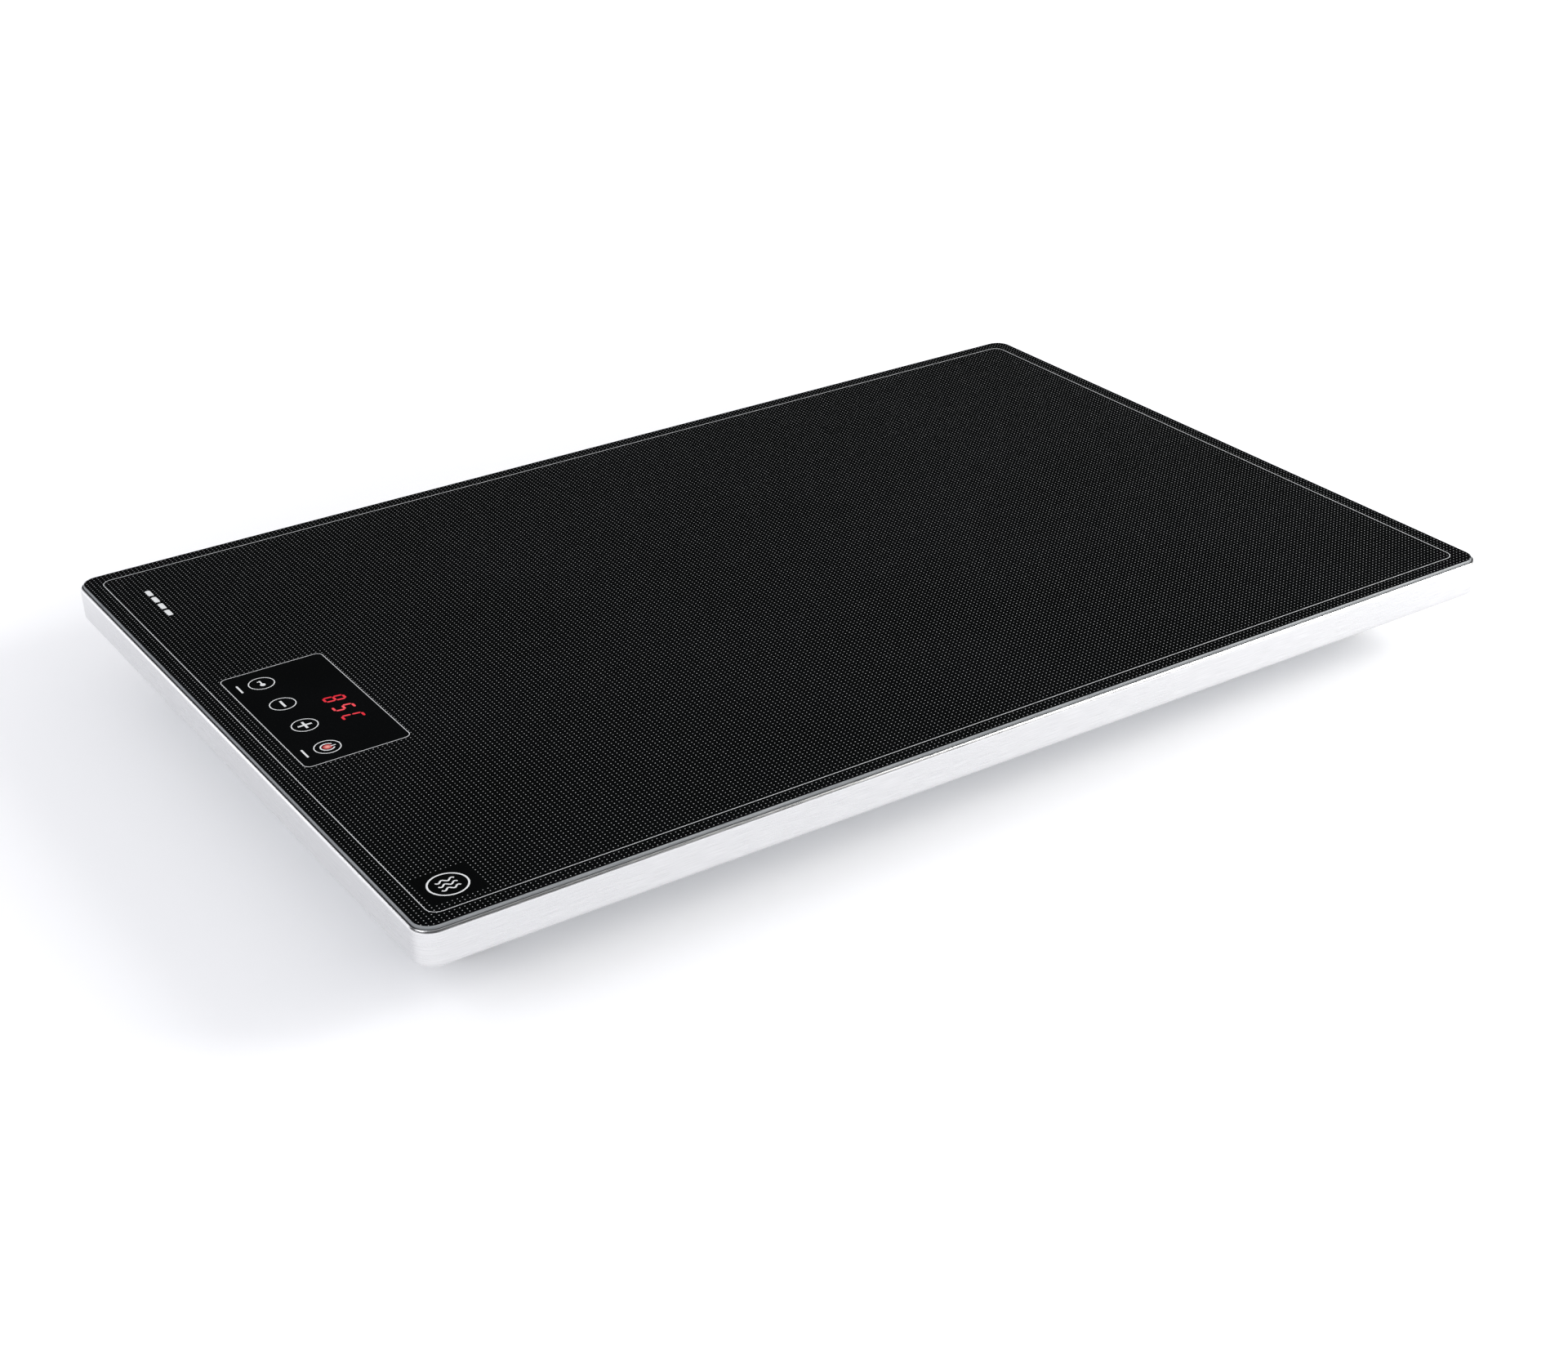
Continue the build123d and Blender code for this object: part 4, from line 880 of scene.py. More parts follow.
@dataclass
class Recipe:
    """A Geometry Nodes tree and the way it is run over a base mesh."""

    tree: bpy.types.NodeTree
    sockets: dict[str, str]

    @classmethod
    def new(cls, name: str, inputs: dict[str, str]) -> tuple["Recipe", bpy.types.Node]:
        """Starts a tree with named inputs.

        Args:
            name: the tree's name.
            inputs: each input's name and socket type.

        Returns:
            The recipe, and the tree's input node.
        """
        tree = bpy.data.node_groups.new(name, "GeometryNodeTree")
        tree.interface.new_socket("Geometry", in_out="INPUT", socket_type="NodeSocketGeometry")
        sockets = {
            label: tree.interface.new_socket(label, in_out="INPUT", socket_type=kind).identifier
            for label, kind in inputs.items()
        }
        tree.interface.new_socket("Geometry", in_out="OUTPUT", socket_type="NodeSocketGeometry")
        return cls(tree, sockets), add_node(tree, "NodeGroupInput")

    def end(self, geometry: bpy.types.Node, given: bpy.types.Node) -> None:
        """Ends the tree: real geometry, finished in the given material."""
        real = add_node(self.tree, "GeometryNodeRealizeInstances", {0: geometry})
        painted = add_node(
            self.tree,
            "GeometryNodeSetMaterial",
            {"Geometry": real, "Material": given.outputs["Finish"]},
        )
        add_node(self.tree, "NodeGroupOutput", {0: painted})

    def run(self, name: str, base: bpy.types.Mesh, values: dict[str, Any]) -> bpy.types.Object:
        """Runs the tree over a base mesh.

        Args:
            name: the finished object's name.
            base: the points or paths that the tree starts from.
            values: the tree's inputs by name.

        Returns:
            The result as a plain mesh object, with no modifier left.
        """
        carrier = new_object(name + "_base", base)
        modifier = carrier.modifiers.new("recipe", "NODES")
        modifier.node_group = self.tree
        for label, value in values.items():
            modifier[self.sockets[label]] = value
        made = plain_copy(name, carrier)
        bpy.data.objects.remove(carrier)
        return made


def plain_copy(name: str, source: bpy.types.Object) -> bpy.types.Object:
    """Makes a plain mesh object of another as its modifiers leave it.

    Args:
        name: the new object's name.
        source: the object with the modifiers.

    Returns:
        The plain object.
    """
    bpy.context.view_layer.update()
    evaluated = source.evaluated_get(bpy.context.evaluated_depsgraph_get())
    mesh = bpy.data.meshes.new_from_object(evaluated)
    mesh.name = name
    return new_object(name, mesh)


def scatter_recipe() -> Recipe:
    """Builds the tree that sets one piece on every point, each turned at random about Z."""
    recipe, given = Recipe.new(
        "set_on_points",
        {
            "Piece": "NodeSocketObject",
            "Largest turn": "NodeSocketFloat",
            "Seed": "NodeSocketInt",
            "Finish": "NodeSocketMaterial",
        },
    )
    tree = recipe.tree
    piece = add_node(tree, "GeometryNodeObjectInfo", {"Object": given.outputs["Piece"]})
    turn = add_node(
        tree,
        "FunctionNodeRandomValue",
        {2: 0.0, 3: given.outputs["Largest turn"], "Seed": given.outputs["Seed"]},
        data_type="FLOAT",
    )
    about_z = add_node(tree, "ShaderNodeCombineXYZ", {"Z": turn.outputs[1]})
    facing = add_node(tree, "FunctionNodeEulerToRotation", {0: about_z})
    placed = add_node(
        tree,
        "GeometryNodeInstanceOnPoints",
        {"Points": given, "Instance": piece.outputs["Geometry"], "Rotation": facing},
    )
    recipe.end(placed, given)
    return recipe


def stroke_recipe() -> Recipe:
    """Builds the tree that lays a flat band of ink along every path."""
    recipe, given = Recipe.new(
        "ink_along_path",
        {
            "Width": "NodeSocketFloat",
            "Thickness": "NodeSocketFloat",
            "Finish": "NodeSocketMaterial",
        },
    )
    tree = recipe.tree
    path = add_node(tree, "GeometryNodeMeshToCurve", {0: given})
    level = add_node(tree, "GeometryNodeSetCurveNormal", {0: path}, mode="Z_UP")
    section = add_node(
        tree,
        "GeometryNodeCurvePrimitiveQuadrilateral",
        {"Width": given.outputs["Width"], "Height": given.outputs["Thickness"]},
    )
    band = add_node(
        tree, "GeometryNodeCurveToMesh", {"Curve": level, "Profile Curve": section, "Fill Caps": True}
    )
    recipe.end(band, given)
    return recipe


def points_mesh(points: Iterable[Vector]) -> bpy.types.Mesh:
    """A mesh of bare points for the scatter tree."""
    mesh = bpy.data.meshes.new("points")
    mesh.from_pydata([tuple(p) for p in points], [], [])
    return mesh


def paths_mesh(paths: Iterable[tuple[Sequence[Vector], bool]]) -> bpy.types.Mesh:
    """A mesh of bare edges for the stroke tree.

    Args:
        paths: each path's points, and True where it closes on itself.

    Returns:
        The mesh.
    """
    vertices: list[tuple[float, ...]] = []
    edges: list[tuple[int, int]] = []
    for points, closes in paths:
        first = len(vertices)
        vertices += [tuple(p) for p in points]
        edges += [(first + k, first + k + 1) for k in range(len(points) - 1)]
        if closes:
            edges.append((first + len(points) - 1, first))
    mesh = bpy.data.meshes.new("paths")
    mesh.from_pydata(vertices, edges, [])
    return mesh


def set_on_solids(
    scatter: Recipe,
    name: str,
    shape: bpy.types.Object,
    node: str,
    spread: float,
    finish: Finish,
    turn: float = 0.0,
    seed: int = 0,
) -> bpy.types.Object:
    """Sets a shape where each separate solid of a CAD node stands.

    Args:
        scatter: the tree that does it.
        name: the new object's name.
        shape: the shape, which is used up.
        node: the CAD node.
        spread: more than one solid's width, and less than the way to the next.
        finish: the shapes' finish.
        turn: the largest random turn about Z.
        seed: the random turns' seed.

    Returns:
        The object.
    """
    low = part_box(node)[0].z
    stands = [Vector((place.x, place.y, low)) for place in places_of(node, spread)]
    values = {"Piece": shape, "Largest turn": turn, "Seed": seed, "Finish": finish.material()}
    made = scatter.run(name, points_mesh(stands), values)
    bpy.data.objects.remove(shape)
    return made


def enlist(piece: bpy.types.Object, slot: str, *nodes: str) -> bpy.types.Object:
    """Makes a piece part of the object.

    Args:
        piece: the finished piece.
        slot: a material slot name; not used.
        nodes: the CAD nodes that it stands for.

    Returns:
        The piece.
    """
    if nodes:
        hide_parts(*nodes)
    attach(piece, BODY)
    LOG.info("%s: %d faces", piece.name, len(piece.data.polygons))
    return piece


# ---------------------------------------------------------------- the glass top


@dataclass
class GlassTop:
    """The toughened glass: a flat face, a narrow ground bevel and a pencil-ground edge."""

    corner_radius: float = 8.45 * MM
    bevel_run: float = 0.4 * MM
    bevel_drop: float = 0.35 * MM
    bevel_blend: float = 0.3 * MM
    arris_radius: float = 0.15 * MM
    bottom_chamfer: float = 0.3 * MM
    face_inset: float = 1.2 * MM
    arc_steps: int = 4
    bare: tuple[Zone, ...] = ()

    def build(self) -> bpy.types.Object:
        """Builds the plate and dresses its face, edge and back.

        Returns:
            The plate.
        """
        low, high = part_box("glass_plate")
        size = (high.x - low.x, high.y - low.y)
        profile = soften(
            [
                (self.face_inset, low.z, 0.0),
                (self.bottom_chamfer, low.z, 0.0),
                (0.0, low.z + self.bottom_chamfer, 0.0),
                (0.0, high.z - self.bevel_drop, self.arris_radius),
                (self.bevel_run, high.z, self.bevel_blend),
                (self.face_inset, high.z, 0.0),
            ],
            self.arc_steps,
        )
        rings = [
            rounded_ring(
                (size[0] - 2 * inset, size[1] - 2 * inset), self.corner_radius - inset, z, steps=14
            )
            for inset, z in profile
        ]
        plate = bridge("glass_top", rings)
        face = DottedGlass("dotted_black_glass", bare=self.bare)
        for finish in (face, GROUND_EDGE, BACK_PRINT):
            plate.data.materials.append(finish.material())
        for polygon in plate.data.polygons:
            if polygon.normal.z > 0.97:
                polygon.material_index = 0
            elif polygon.normal.z > -0.9:
                polygon.material_index = 1
            else:
                polygon.material_index = 2
        return enlist(plate, "tempered_glass", "glass_plate")


class Segment(Enum):
    """The seven bars of a digit: two ends as shares of its width and of its height."""

    TOP = ((0.0, 1.0), (1.0, 1.0))
    UPPER_RIGHT = ((1.0, 1.0), (1.0, 0.5))
    LOWER_RIGHT = ((1.0, 0.5), (1.0, 0.0))
    BOTTOM = ((0.0, 0.0), (1.0, 0.0))
    LOWER_LEFT = ((0.0, 0.5), (0.0, 0.0))
    UPPER_LEFT = ((0.0, 1.0), (0.0, 0.5))
    MIDDLE = ((0.0, 0.5), (1.0, 0.5))


LIT_SEGMENTS: dict[str, tuple[Segment, ...]] = {
    "8": tuple(Segment),
    "5": (Segment.TOP, Segment.UPPER_LEFT, Segment.MIDDLE, Segment.LOWER_RIGHT, Segment.BOTTOM),
    "C": (Segment.TOP, Segment.UPPER_LEFT, Segment.LOWER_LEFT, Segment.BOTTOM),
    " ": (),
}


@dataclass
class DisplayDigits:
    """The lit temperature figures, seen through the window over the display."""

    text: str = " 85C"
    pitch: float = 10.5 * MM
    bar: float = 1.15 * MM
    gap: float = 0.22 * MM
    lean_deg: float = 8.0
    ink_depth: float = 0.03 * MM
    glow_reach_mm: float = 16.0
    glow: float = 0.95

    def build(self) -> bpy.types.Object:
        """Builds the lit bars of every figure as one piece."""
        low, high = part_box("display_segments")
        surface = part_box("glass_plate")[1].z
        height = high.y - low.y - self.bar
        lean = math.tan(math.radians(self.lean_deg))
        width = high.x - low.x - self.pitch * (len(self.text) - 1) - lean * height - self.bar
        outlines: list[list[Point]] = []
        for place, character in enumerate(self.text):
            corner = Vector((low.x + self.pitch * place + self.bar / 2, low.y + self.bar / 2))
            for segment in LIT_SEGMENTS[character]:
                ends = [
                    corner + Vector((x * width + lean * y * height, y * height))
                    for x, y in segment.value
                ]
                outlines.append(self._bar(*ends))
        middle = (0.5 * (low.x + self.pitch + high.x), 0.5 * (low.y + high.y), surface)
        finish = Lit("lit_red_figures", "FF5A63", "E02336", middle, self.glow_reach_mm, self.glow)
        return enlist(prisms("display_digits", outlines, surface, self.ink_depth, finish), "led_red")

    def _bar(self, start: Vector, end: Vector) -> list[Point]:
        """One bar's outline, anticlockwise, with pointed ends.

        Args:
            start: where its line starts.
            end: where its line ends.

        Returns:
            Its six points.
        """
        along = (end - start).normalized()
        across = Vector((-along.y, along.x)) * self.bar / 2
        first, last = start + along * self.gap, end - along * self.gap
        shoulder = along * self.bar / 2
        points = (
            first,
            first + shoulder - across,
            last - shoulder - across,
            last,
            last - shoulder + across,
            first + shoulder + across,
        )
        return [tuple(p) for p in points]


@dataclass
class PrintedMarks:
    """The ink on the glass: border, window outline, key rings and their signs, and corner marks."""

    strokes: Recipe
    ink_depth: float = 0.03 * MM
    border_inset: float = 8.45 * MM
    border_radius: float = 5.3 * MM
    border_line: float = 0.36 * MM
    window: Point = (101.2 * MM, 49.9 * MM)
    window_radius: float = 3.2 * MM
    window_line: float = 0.38 * MM
    key_radius: float = 5.9 * MM
    key_line: float = 0.5 * MM
    sign_line: float = 1.1 * MM
    sign_reach: float = 3.3 * MM
    heat_inset: Point = (25.25 * MM, 23.95 * MM)
    heat_radius: float = 8.4 * MM
    heat_line: float = 0.8 * MM
    heat_bare: Point = (12.0 * MM, 11.8 * MM)
    wave_pitch: float = 3.2 * MM
    wave_swing: float = 0.8 * MM
    wave_length: float = 8.4 * MM
    wave_steps: int = 24
    # each filled bar is half its length and half its width; a shift is from the middle of its key
    bow_radius: float = 1.3 * MM
    bow_shift: float = 1.6 * MM
    shaft: Point = (1.55 * MM, 0.4 * MM)
    shaft_shift: Point = (1.3 * MM, 0.0)
    tooth: Point = (0.35 * MM, 0.45 * MM)
    tooth_shift: Point = (2.2 * MM, 0.9 * MM)
    label: Point = (4.0 * MM, 0.45 * MM)
    label_drop: float = 10.6 * MM
    power_radius: float = 3.1 * MM
    power_opening_deg: float = 32.0
    power_bar: Point = (1.4 * MM, 3.9 * MM)
    power_line: float = 0.7 * MM
    power_steps: int = 28
    badge_centre: Point = (-149.3 * MM, -263.8 * MM)
    badge_pitch: float = 9.0 * MM
    badge_bar: Point = (3.4 * MM, 1.3 * MM)

    def __post_init__(self) -> None:
        """Reads where the glass, the window and the keys are from the frame."""
        self.low, self.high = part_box("glass_plate")
        self.surface = self.high.z
        board_low, board_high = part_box("control_carrier")
        self.window_centre = ((board_low.x + board_high.x) / 2, (board_low.y + board_high.y) / 2)
        self.keys = sorted(places_of("touch_pads", 12 * MM), key=lambda place: place.x)
        self.heat_centre = (self.high.x - self.heat_inset[0], self.low.y + self.heat_inset[1])

    def bare_zones(self) -> tuple[Zone, ...]:
        """The rectangles that the dots leave bare: the window, and round the heat mark."""
        half = (self.window[0] / 2, self.window[1] / 2)
        return (Zone(self.window_centre, half), Zone(self.heat_centre, self.heat_bare))

    def build(self) -> list[bpy.types.Object]:
        """Builds every printed piece and returns them."""
        return [
            self._border(),
            self._window(),
            self._key_rings(),
            self._key_signs(),
            self._key_strokes(),
            self._heat_mark(),
            self._badge(),
        ]

    def _level(self) -> float:
        """The height of an ink line's middle."""
        return self.surface + self.ink_depth / 2

    def _ink(
        self, name: str, paths: Iterable[tuple[Sequence[Vector], bool]], width: float, ink: Finish
    ) -> bpy.types.Object:
        """Lays ink lines along paths.

        Args:
            name: the piece's name.
            paths: each path's points, and True where it closes.
            width: the lines' width.
            ink: their finish.

        Returns:
            The piece.
        """
        values = {"Width": width, "Thickness": self.ink_depth, "Finish": ink.material()}
        return enlist(self.strokes.run(name, paths_mesh(paths), values), "ceramic_white")

    def _border(self) -> bpy.types.Object:
        """The thin line round the whole face."""
        size = (
            self.high.x - self.low.x - 2 * self.border_inset,
            self.high.y - self.low.y - 2 * self.border_inset,
        )
        ring = rounded_ring(size, self.border_radius, self._level())
        return self._ink("printed_border", [(ring, True)], self.border_line, GREY_INK)

    def _window(self) -> bpy.types.Object:
        """The control window's outline."""
        ring = rounded_ring(self.window, self.window_radius, self._level(), self.window_centre)
        return self._ink("printed_window_outline", [(ring, True)], self.window_line, GREY_INK)

    def _key_rings(self) -> bpy.types.Object:
        """A ring over each touch pad."""
        rings = [(circle(self.key_radius, self._level(), k.xy, 48), True) for k in self.keys]
        return self._ink("printed_key_rings", rings, self.key_line, WHITE_INK)

    def _key_signs(self) -> bpy.types.Object:
        """The filled signs: a door key, a minus, a plus, and a bar under two of the keys."""
        half, reach = self.sign_line / 2, self.sign_reach
        lock, minus, plus, power = (key.xy for key in self.keys)
        outlines = [
            [(p.x, p.y) for p in circle(self.bow_radius, 0.0, (lock.x + self.bow_shift, lock.y))],
            self._bar(lock - Vector(self.shaft_shift), *self.shaft),
            self._bar(lock - Vector(self.tooth_shift), *self.tooth),
            self._bar(minus, reach, half),
            [(plus.x + x, plus.y + y) for x, y in cross_outline(half, reach)],
        ]
        for key in (lock, power):
            outlines.append(self._bar(key - Vector((0, self.label_drop)), *self.label))
        return self._fill("printed_key_signs", outlines)

    def _fill(self, name: str, outlines: Sequence[Sequence[Point]]) -> bpy.types.Object:
        """Prints filled white shapes.

        Args:
            name: the piece's name.
            outlines: the shapes, each anticlockwise.

        Returns:
            The piece.
        """
        printed = prisms(name, outlines, self.surface, self.ink_depth, WHITE_INK)
        return enlist(printed, "ceramic_white")

    @staticmethod
    def _bar(centre: Vector, half_width: float, half_depth: float) -> list[Point]:
        """A filled bar with small round corners, as an outline."""
        ring = rounded_ring(
            (2 * half_width, 2 * half_depth), half_depth * 0.6, 0.0, (centre.x, centre.y), 4
        )
        return [(p.x, p.y) for p in ring]

    def _key_strokes(self) -> bpy.types.Object:
        """The drawn sign: the power sign's broken ring and bar."""
        power = self.keys[-1]
        level = self._level()
        opening = math.radians(self.power_opening_deg)
        sweep = 2 * math.pi - 2 * opening
        turns = (opening + sweep * step / self.power_steps for step in range(self.power_steps + 1))
        radius = self.power_radius
        ring = [
            Vector((power.x + radius * math.sin(a), power.y + radius * math.cos(a), level))
            for a in turns
        ]
        bar = [Vector((power.x, power.y + end, level)) for end in self.power_bar]
        paths = [(ring, False), (bar, False)]
        return self._ink("printed_key_strokes", paths, self.power_line, WHITE_INK)

    def _heat_mark(self) -> bpy.types.Object:
        """A plain ring round three rising waves, which says that the face gets hot."""
        level = self._level()
        paths = [(circle(self.heat_radius, level, self.heat_centre, 56), True)]
        middle_x, middle_y = self.heat_centre
        shares = [step / self.wave_steps for step in range(self.wave_steps + 1)]
        for side in (-1, 0, 1):
            rest = middle_x + self.wave_pitch * side
            wave = [
                Vector(
                    (
                        rest + self.wave_swing * math.sin(4 * math.pi * t),
                        middle_y + self.wave_length * (t - 0.5),
                        level,
                    )
                )
                for t in shares
            ]
            paths.append((wave, False))
        return self._ink("printed_heat_mark", paths, self.heat_line, WHITE_INK)

    def _badge(self) -> bpy.types.Object:
        """A row of plain bars, as wide as the corner's mark is."""
        middle = Vector(self.badge_centre)
        bars = [
            self._bar(middle + Vector((self.badge_pitch * place, 0.0)), *self.badge_bar)
            for place in (-1.5, -0.5, 0.5, 1.5)
        ]
        return self._fill("printed_corner_bars", bars)


@dataclass
class PowerGlow:
    """The standby light behind the power key: a soft red disc in the sign's ring."""

    radius: float = 2.2 * MM
    depth: float = 0.02 * MM
    glow_reach_mm: float = 2.3
    glow: float = 0.9

    def build(self) -> bpy.types.Object:
        """Builds the disc over the power LED."""
        low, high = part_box("power_led")
        centre = ((low.x + high.x) / 2, (low.y + high.y) / 2)
        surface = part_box("glass_plate")[1].z
        outline = [(p.x, p.y) for p in circle(self.radius, 0.0, centre, 40)]
        middle = (*centre, surface)
        finish = Lit("lit_standby_window", "FFB2A6", "A3202A", middle, self.glow_reach_mm, self.glow)
        return enlist(prisms("power_key_glow", [outline], surface, self.depth, finish), "led_red")


# ---------------------------------------------------------------- the steel rim


@dataclass
class RimTray:
    """The folded stainless rim: floor, upright wall, rounded shoulder and the ledge for the glass."""

    sheet: float = 0.8 * MM
    corner_radius: float = 10.0 * MM
    least_radius: float = 4.0 * MM
    bottom_bend: float = 3.0 * MM
    shoulder: float = 2.4 * MM
    crown_drop: float = 0.7 * MM
    lip_inset: float = 0.95 * MM
    lip_round: float = 0.12 * MM
    ledge_height: float = 15.3 * MM
    ledge_width: float = 14.0 * MM
    opening: Point = (296.0 * MM, 465.0 * MM)
    opening_centre: Point = (0.0, 27.5 * MM)
    opening_radius: float = 8.0 * MM
    floor_ring: float = 20.0 * MM
    hold: float = 0.25 * MM
    arc_steps: int = 6

    def build(self) -> bpy.types.Object:
        """Builds the rim as one closed skin of sheet thickness.

        Returns:
            The rim.
        """
        low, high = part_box("rim_tray")
        size = (high.x - low.x, high.y - low.y)
        rings = [self._opening_ring(low.z)]
        for inset, z in self._profile(low.z):
            radius = max(self.corner_radius - inset, self.least_radius)
            around = (size[0] - 2 * inset, size[1] - 2 * inset)
            rings.append(rounded_ring(around, radius, z, steps=12))
        rings.append(self._opening_ring(low.z + self.sheet))
        rim = bridge("steel_rim", rings, closed=True, sharp_deg=50.0)
        rim.data.materials.append(SATIN_STEEL.material())
        return enlist(rim, "stainless_rim", "rim_tray")

    def _profile(self, floor: float) -> list[Point]:
        """The sheet's outline as (inset, height) points, up the outside and back down the inside.

        Args:
            floor: the height of the sheet's underside.

        Returns:
            The points in order.
        """
        t = self.sheet
        ledge = floor + self.ledge_height
        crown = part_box("glass_plate")[1].z - self.crown_drop
        spring = crown - self.shoulder
        outside = [(self.floor_ring, floor, 0.0), (0.0, floor, self.bottom_bend), (0.0, spring, 0.0)]
        lip = [(0.0, spring - self.hold, 0.0), *self._arc(spring, self.shoulder, self.lip_round)]
        inner = [*reversed(self._arc(spring, self.shoulder - t, 0.0)), (t, ledge, 0.0)]
        shelf = [(t, ledge, 0.0), (self.ledge_width, ledge, 0.0), (self.ledge_width, ledge - t, 0.0)]
        bend = (t, floor + t, self.bottom_bend - t)
        inside = [(t, ledge - t, 0.0), bend, (self.floor_ring, floor + t, 0.0)]
        points = soften(outside, self.arc_steps, self.hold)[:-1]
        points += soften([*lip, inner[0]], self.arc_steps)[:-1]
        points += [corner[:2] for corner in (*inner[:-1], *shelf)]
        points += soften(inside, self.arc_steps, self.hold)
        return points

    def _arc(self, spring: float, radius: float, end_round: float) -> list[Spot]:
        """The shoulder's arc from the wall to the lip, as profile corners.

        Args:
            spring: the height at which it leaves the wall.
            radius: its radius, about the shoulder's own centre.
            end_round: the radius that its last corner is rounded to.

        Returns:
            Its corners in order.
        """
        sweep = math.acos((self.shoulder - self.lip_inset) / radius)
        turns = [sweep * step / self.arc_steps for step in range(self.arc_steps + 1)]
        corners = [
            (self.shoulder - radius * math.cos(a), spring + radius * math.sin(a), 0.0) for a in turns
        ]
        corners[-1] = (*corners[-1][:2], end_round)
        return corners

    def _opening_ring(self, height: float) -> list[Vector]:
        """The floor opening's edge at one height."""
        return rounded_ring(self.opening, self.opening_radius, height, self.opening_centre, 12)


# ---------------------------------------------------------------- fasteners and feet


def cross_recess(head: bpy.types.Object, reach: float, width: float, depth: float) -> bpy.types.Object:
    """Sinks a cross recess into a screw head that faces down.

    Args:
        head: the screw, with its head's top at z 0 and its shank above.
        reach: half the cross's length at its mouth.
        width: its slots' width.
        depth: how deep it goes.

    Returns:
        A plain copy of the screw with the recess.
    """
    rings = []
    for z, share in ((-0.5 * depth, 1.25), (depth, 0.55)):
        outline = cross_outline(width / 2 * share, reach * share)
        rings.append([Vector((x, y, z)) for x, y in outline])
    cutter = bridge("cross_cutter", rings)
    cut = head.modifiers.new("cross", "BOOLEAN")
    cut.operation = "DIFFERENCE"
    cut.object = cutter
    cut.solver = "EXACT"
    made = plain_copy(head.name + "_cut", head)
    made.data.shade_smooth()
    made.data.set_sharp_from_angle(angle=math.radians(35))
    for spent in (head, cutter):
        bpy.data.objects.remove(spent)
    return made


@dataclass
class Fasteners:
    """The screws and rivets on the underside, one shape for each kind, set where the frame has them."""

    scatter: Recipe
    head_steps: int = 28
    seed: int = 7
    spread: float = 9.0 * MM
    head: float = 3.6 * MM
    rise: float = 2.2 * MM
    flange_shank: float = 1.5 * MM
    foot_shank: float = 2.0 * MM
    rivet_head: float = 3.2 * MM
    rivet_rise: float = 0.9 * MM
    rivet_shank: float = 1.6 * MM
    stem: float = 1.0 * MM
    stem_sink: float = 0.35 * MM
    shank_end: float = 0.3 * MM

    def build(self) -> list[bpy.types.Object]:
        """Builds the flange screws, the foot screws and the rivets."""
        flange = self._screw("flange_screw", self.flange_shank, "flange_screws")
        foot = self._screw("foot_screw", self.foot_shank, "foot_screws")
        return [
            self._set("flange_screw_set", flange, "flange_screws", ZINC_PLATE, "zinc_steel"),
            self._set("foot_screw_set", foot, "foot_screws", ZINC_PLATE, "zinc_steel"),
            self._set("rivet_set", self._rivet(), "bar_rivets", RIVET_ALLOY, "aluminium_sheet"),
        ]

    def _screw(self, name: str, shank: float, node: str) -> bpy.types.Object:
        """A pan-head screw with a cross recess, head down.

        Args:
            name: the shape's name.
            shank: its shank's radius.
            node: the CAD node whose length it has.

        Returns:
            The screw, with its head's top at z 0.
        """
        low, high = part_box(node)
        length = high.z - low.z
        head, rise = self.head, self.rise
        profile = soften(
            [
                (0.0, 0.0, 0.0),
                (head * 0.72, 0.0, head * 0.3),
                (head, rise * 0.55, head * 0.12),
                (head, rise, 0.0),
                (shank, rise, 0.0),
                (shank, length - shank * 0.4, 0.0),
                (shank * 0.6, length, 0.0),
                (0.0, length, 0.0),
            ],
            4,
        )
        return cross_recess(
            lathe(name, profile, self.head_steps), head * 0.55, head * 0.3, rise * 0.6
        )

    def _rivet(self) -> bpy.types.Object:
        """A domed blind rivet with its broken stem set in the head, head down."""
        low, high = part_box("bar_rivets")
        head, rise, shank, stem = self.rivet_head, self.rivet_rise, self.rivet_shank, self.stem
        length = high.z - low.z
        profile = soften(
            [
                (0.0, self.stem_sink, 0.0),
                (stem * 0.8, self.stem_sink, 0.0),
                (stem, 0.0, 0.15 * MM),
                (head * 0.6, 0.0, 1.6 * MM),
                (head, rise * 0.75, 0.3 * MM),
                (head, rise, 0.0),
                (shank, rise, 0.0),
                (shank, length - self.shank_end, 0.0),
                (shank - self.shank_end, length, 0.0),
                (0.0, length, 0.0),
            ],
            4,
        )
        return lathe("rivet", profile, self.head_steps)

    def _set(
        self, name: str, shape: bpy.types.Object, node: str, finish: Finish, slot: str
    ) -> bpy.types.Object:
        """Sets a shape where each solid of a CAD node is.

        Args:
            name: the piece's name.
            shape: the shape, which is used up.
            node: the CAD node that the piece stands for.
            finish: its finish.
            slot: its material slot.

        Returns:
            The piece.
        """
        made = set_on_solids(self.scatter, name, shape, node, self.spread, finish, math.tau, self.seed)
        return enlist(made, slot, node)


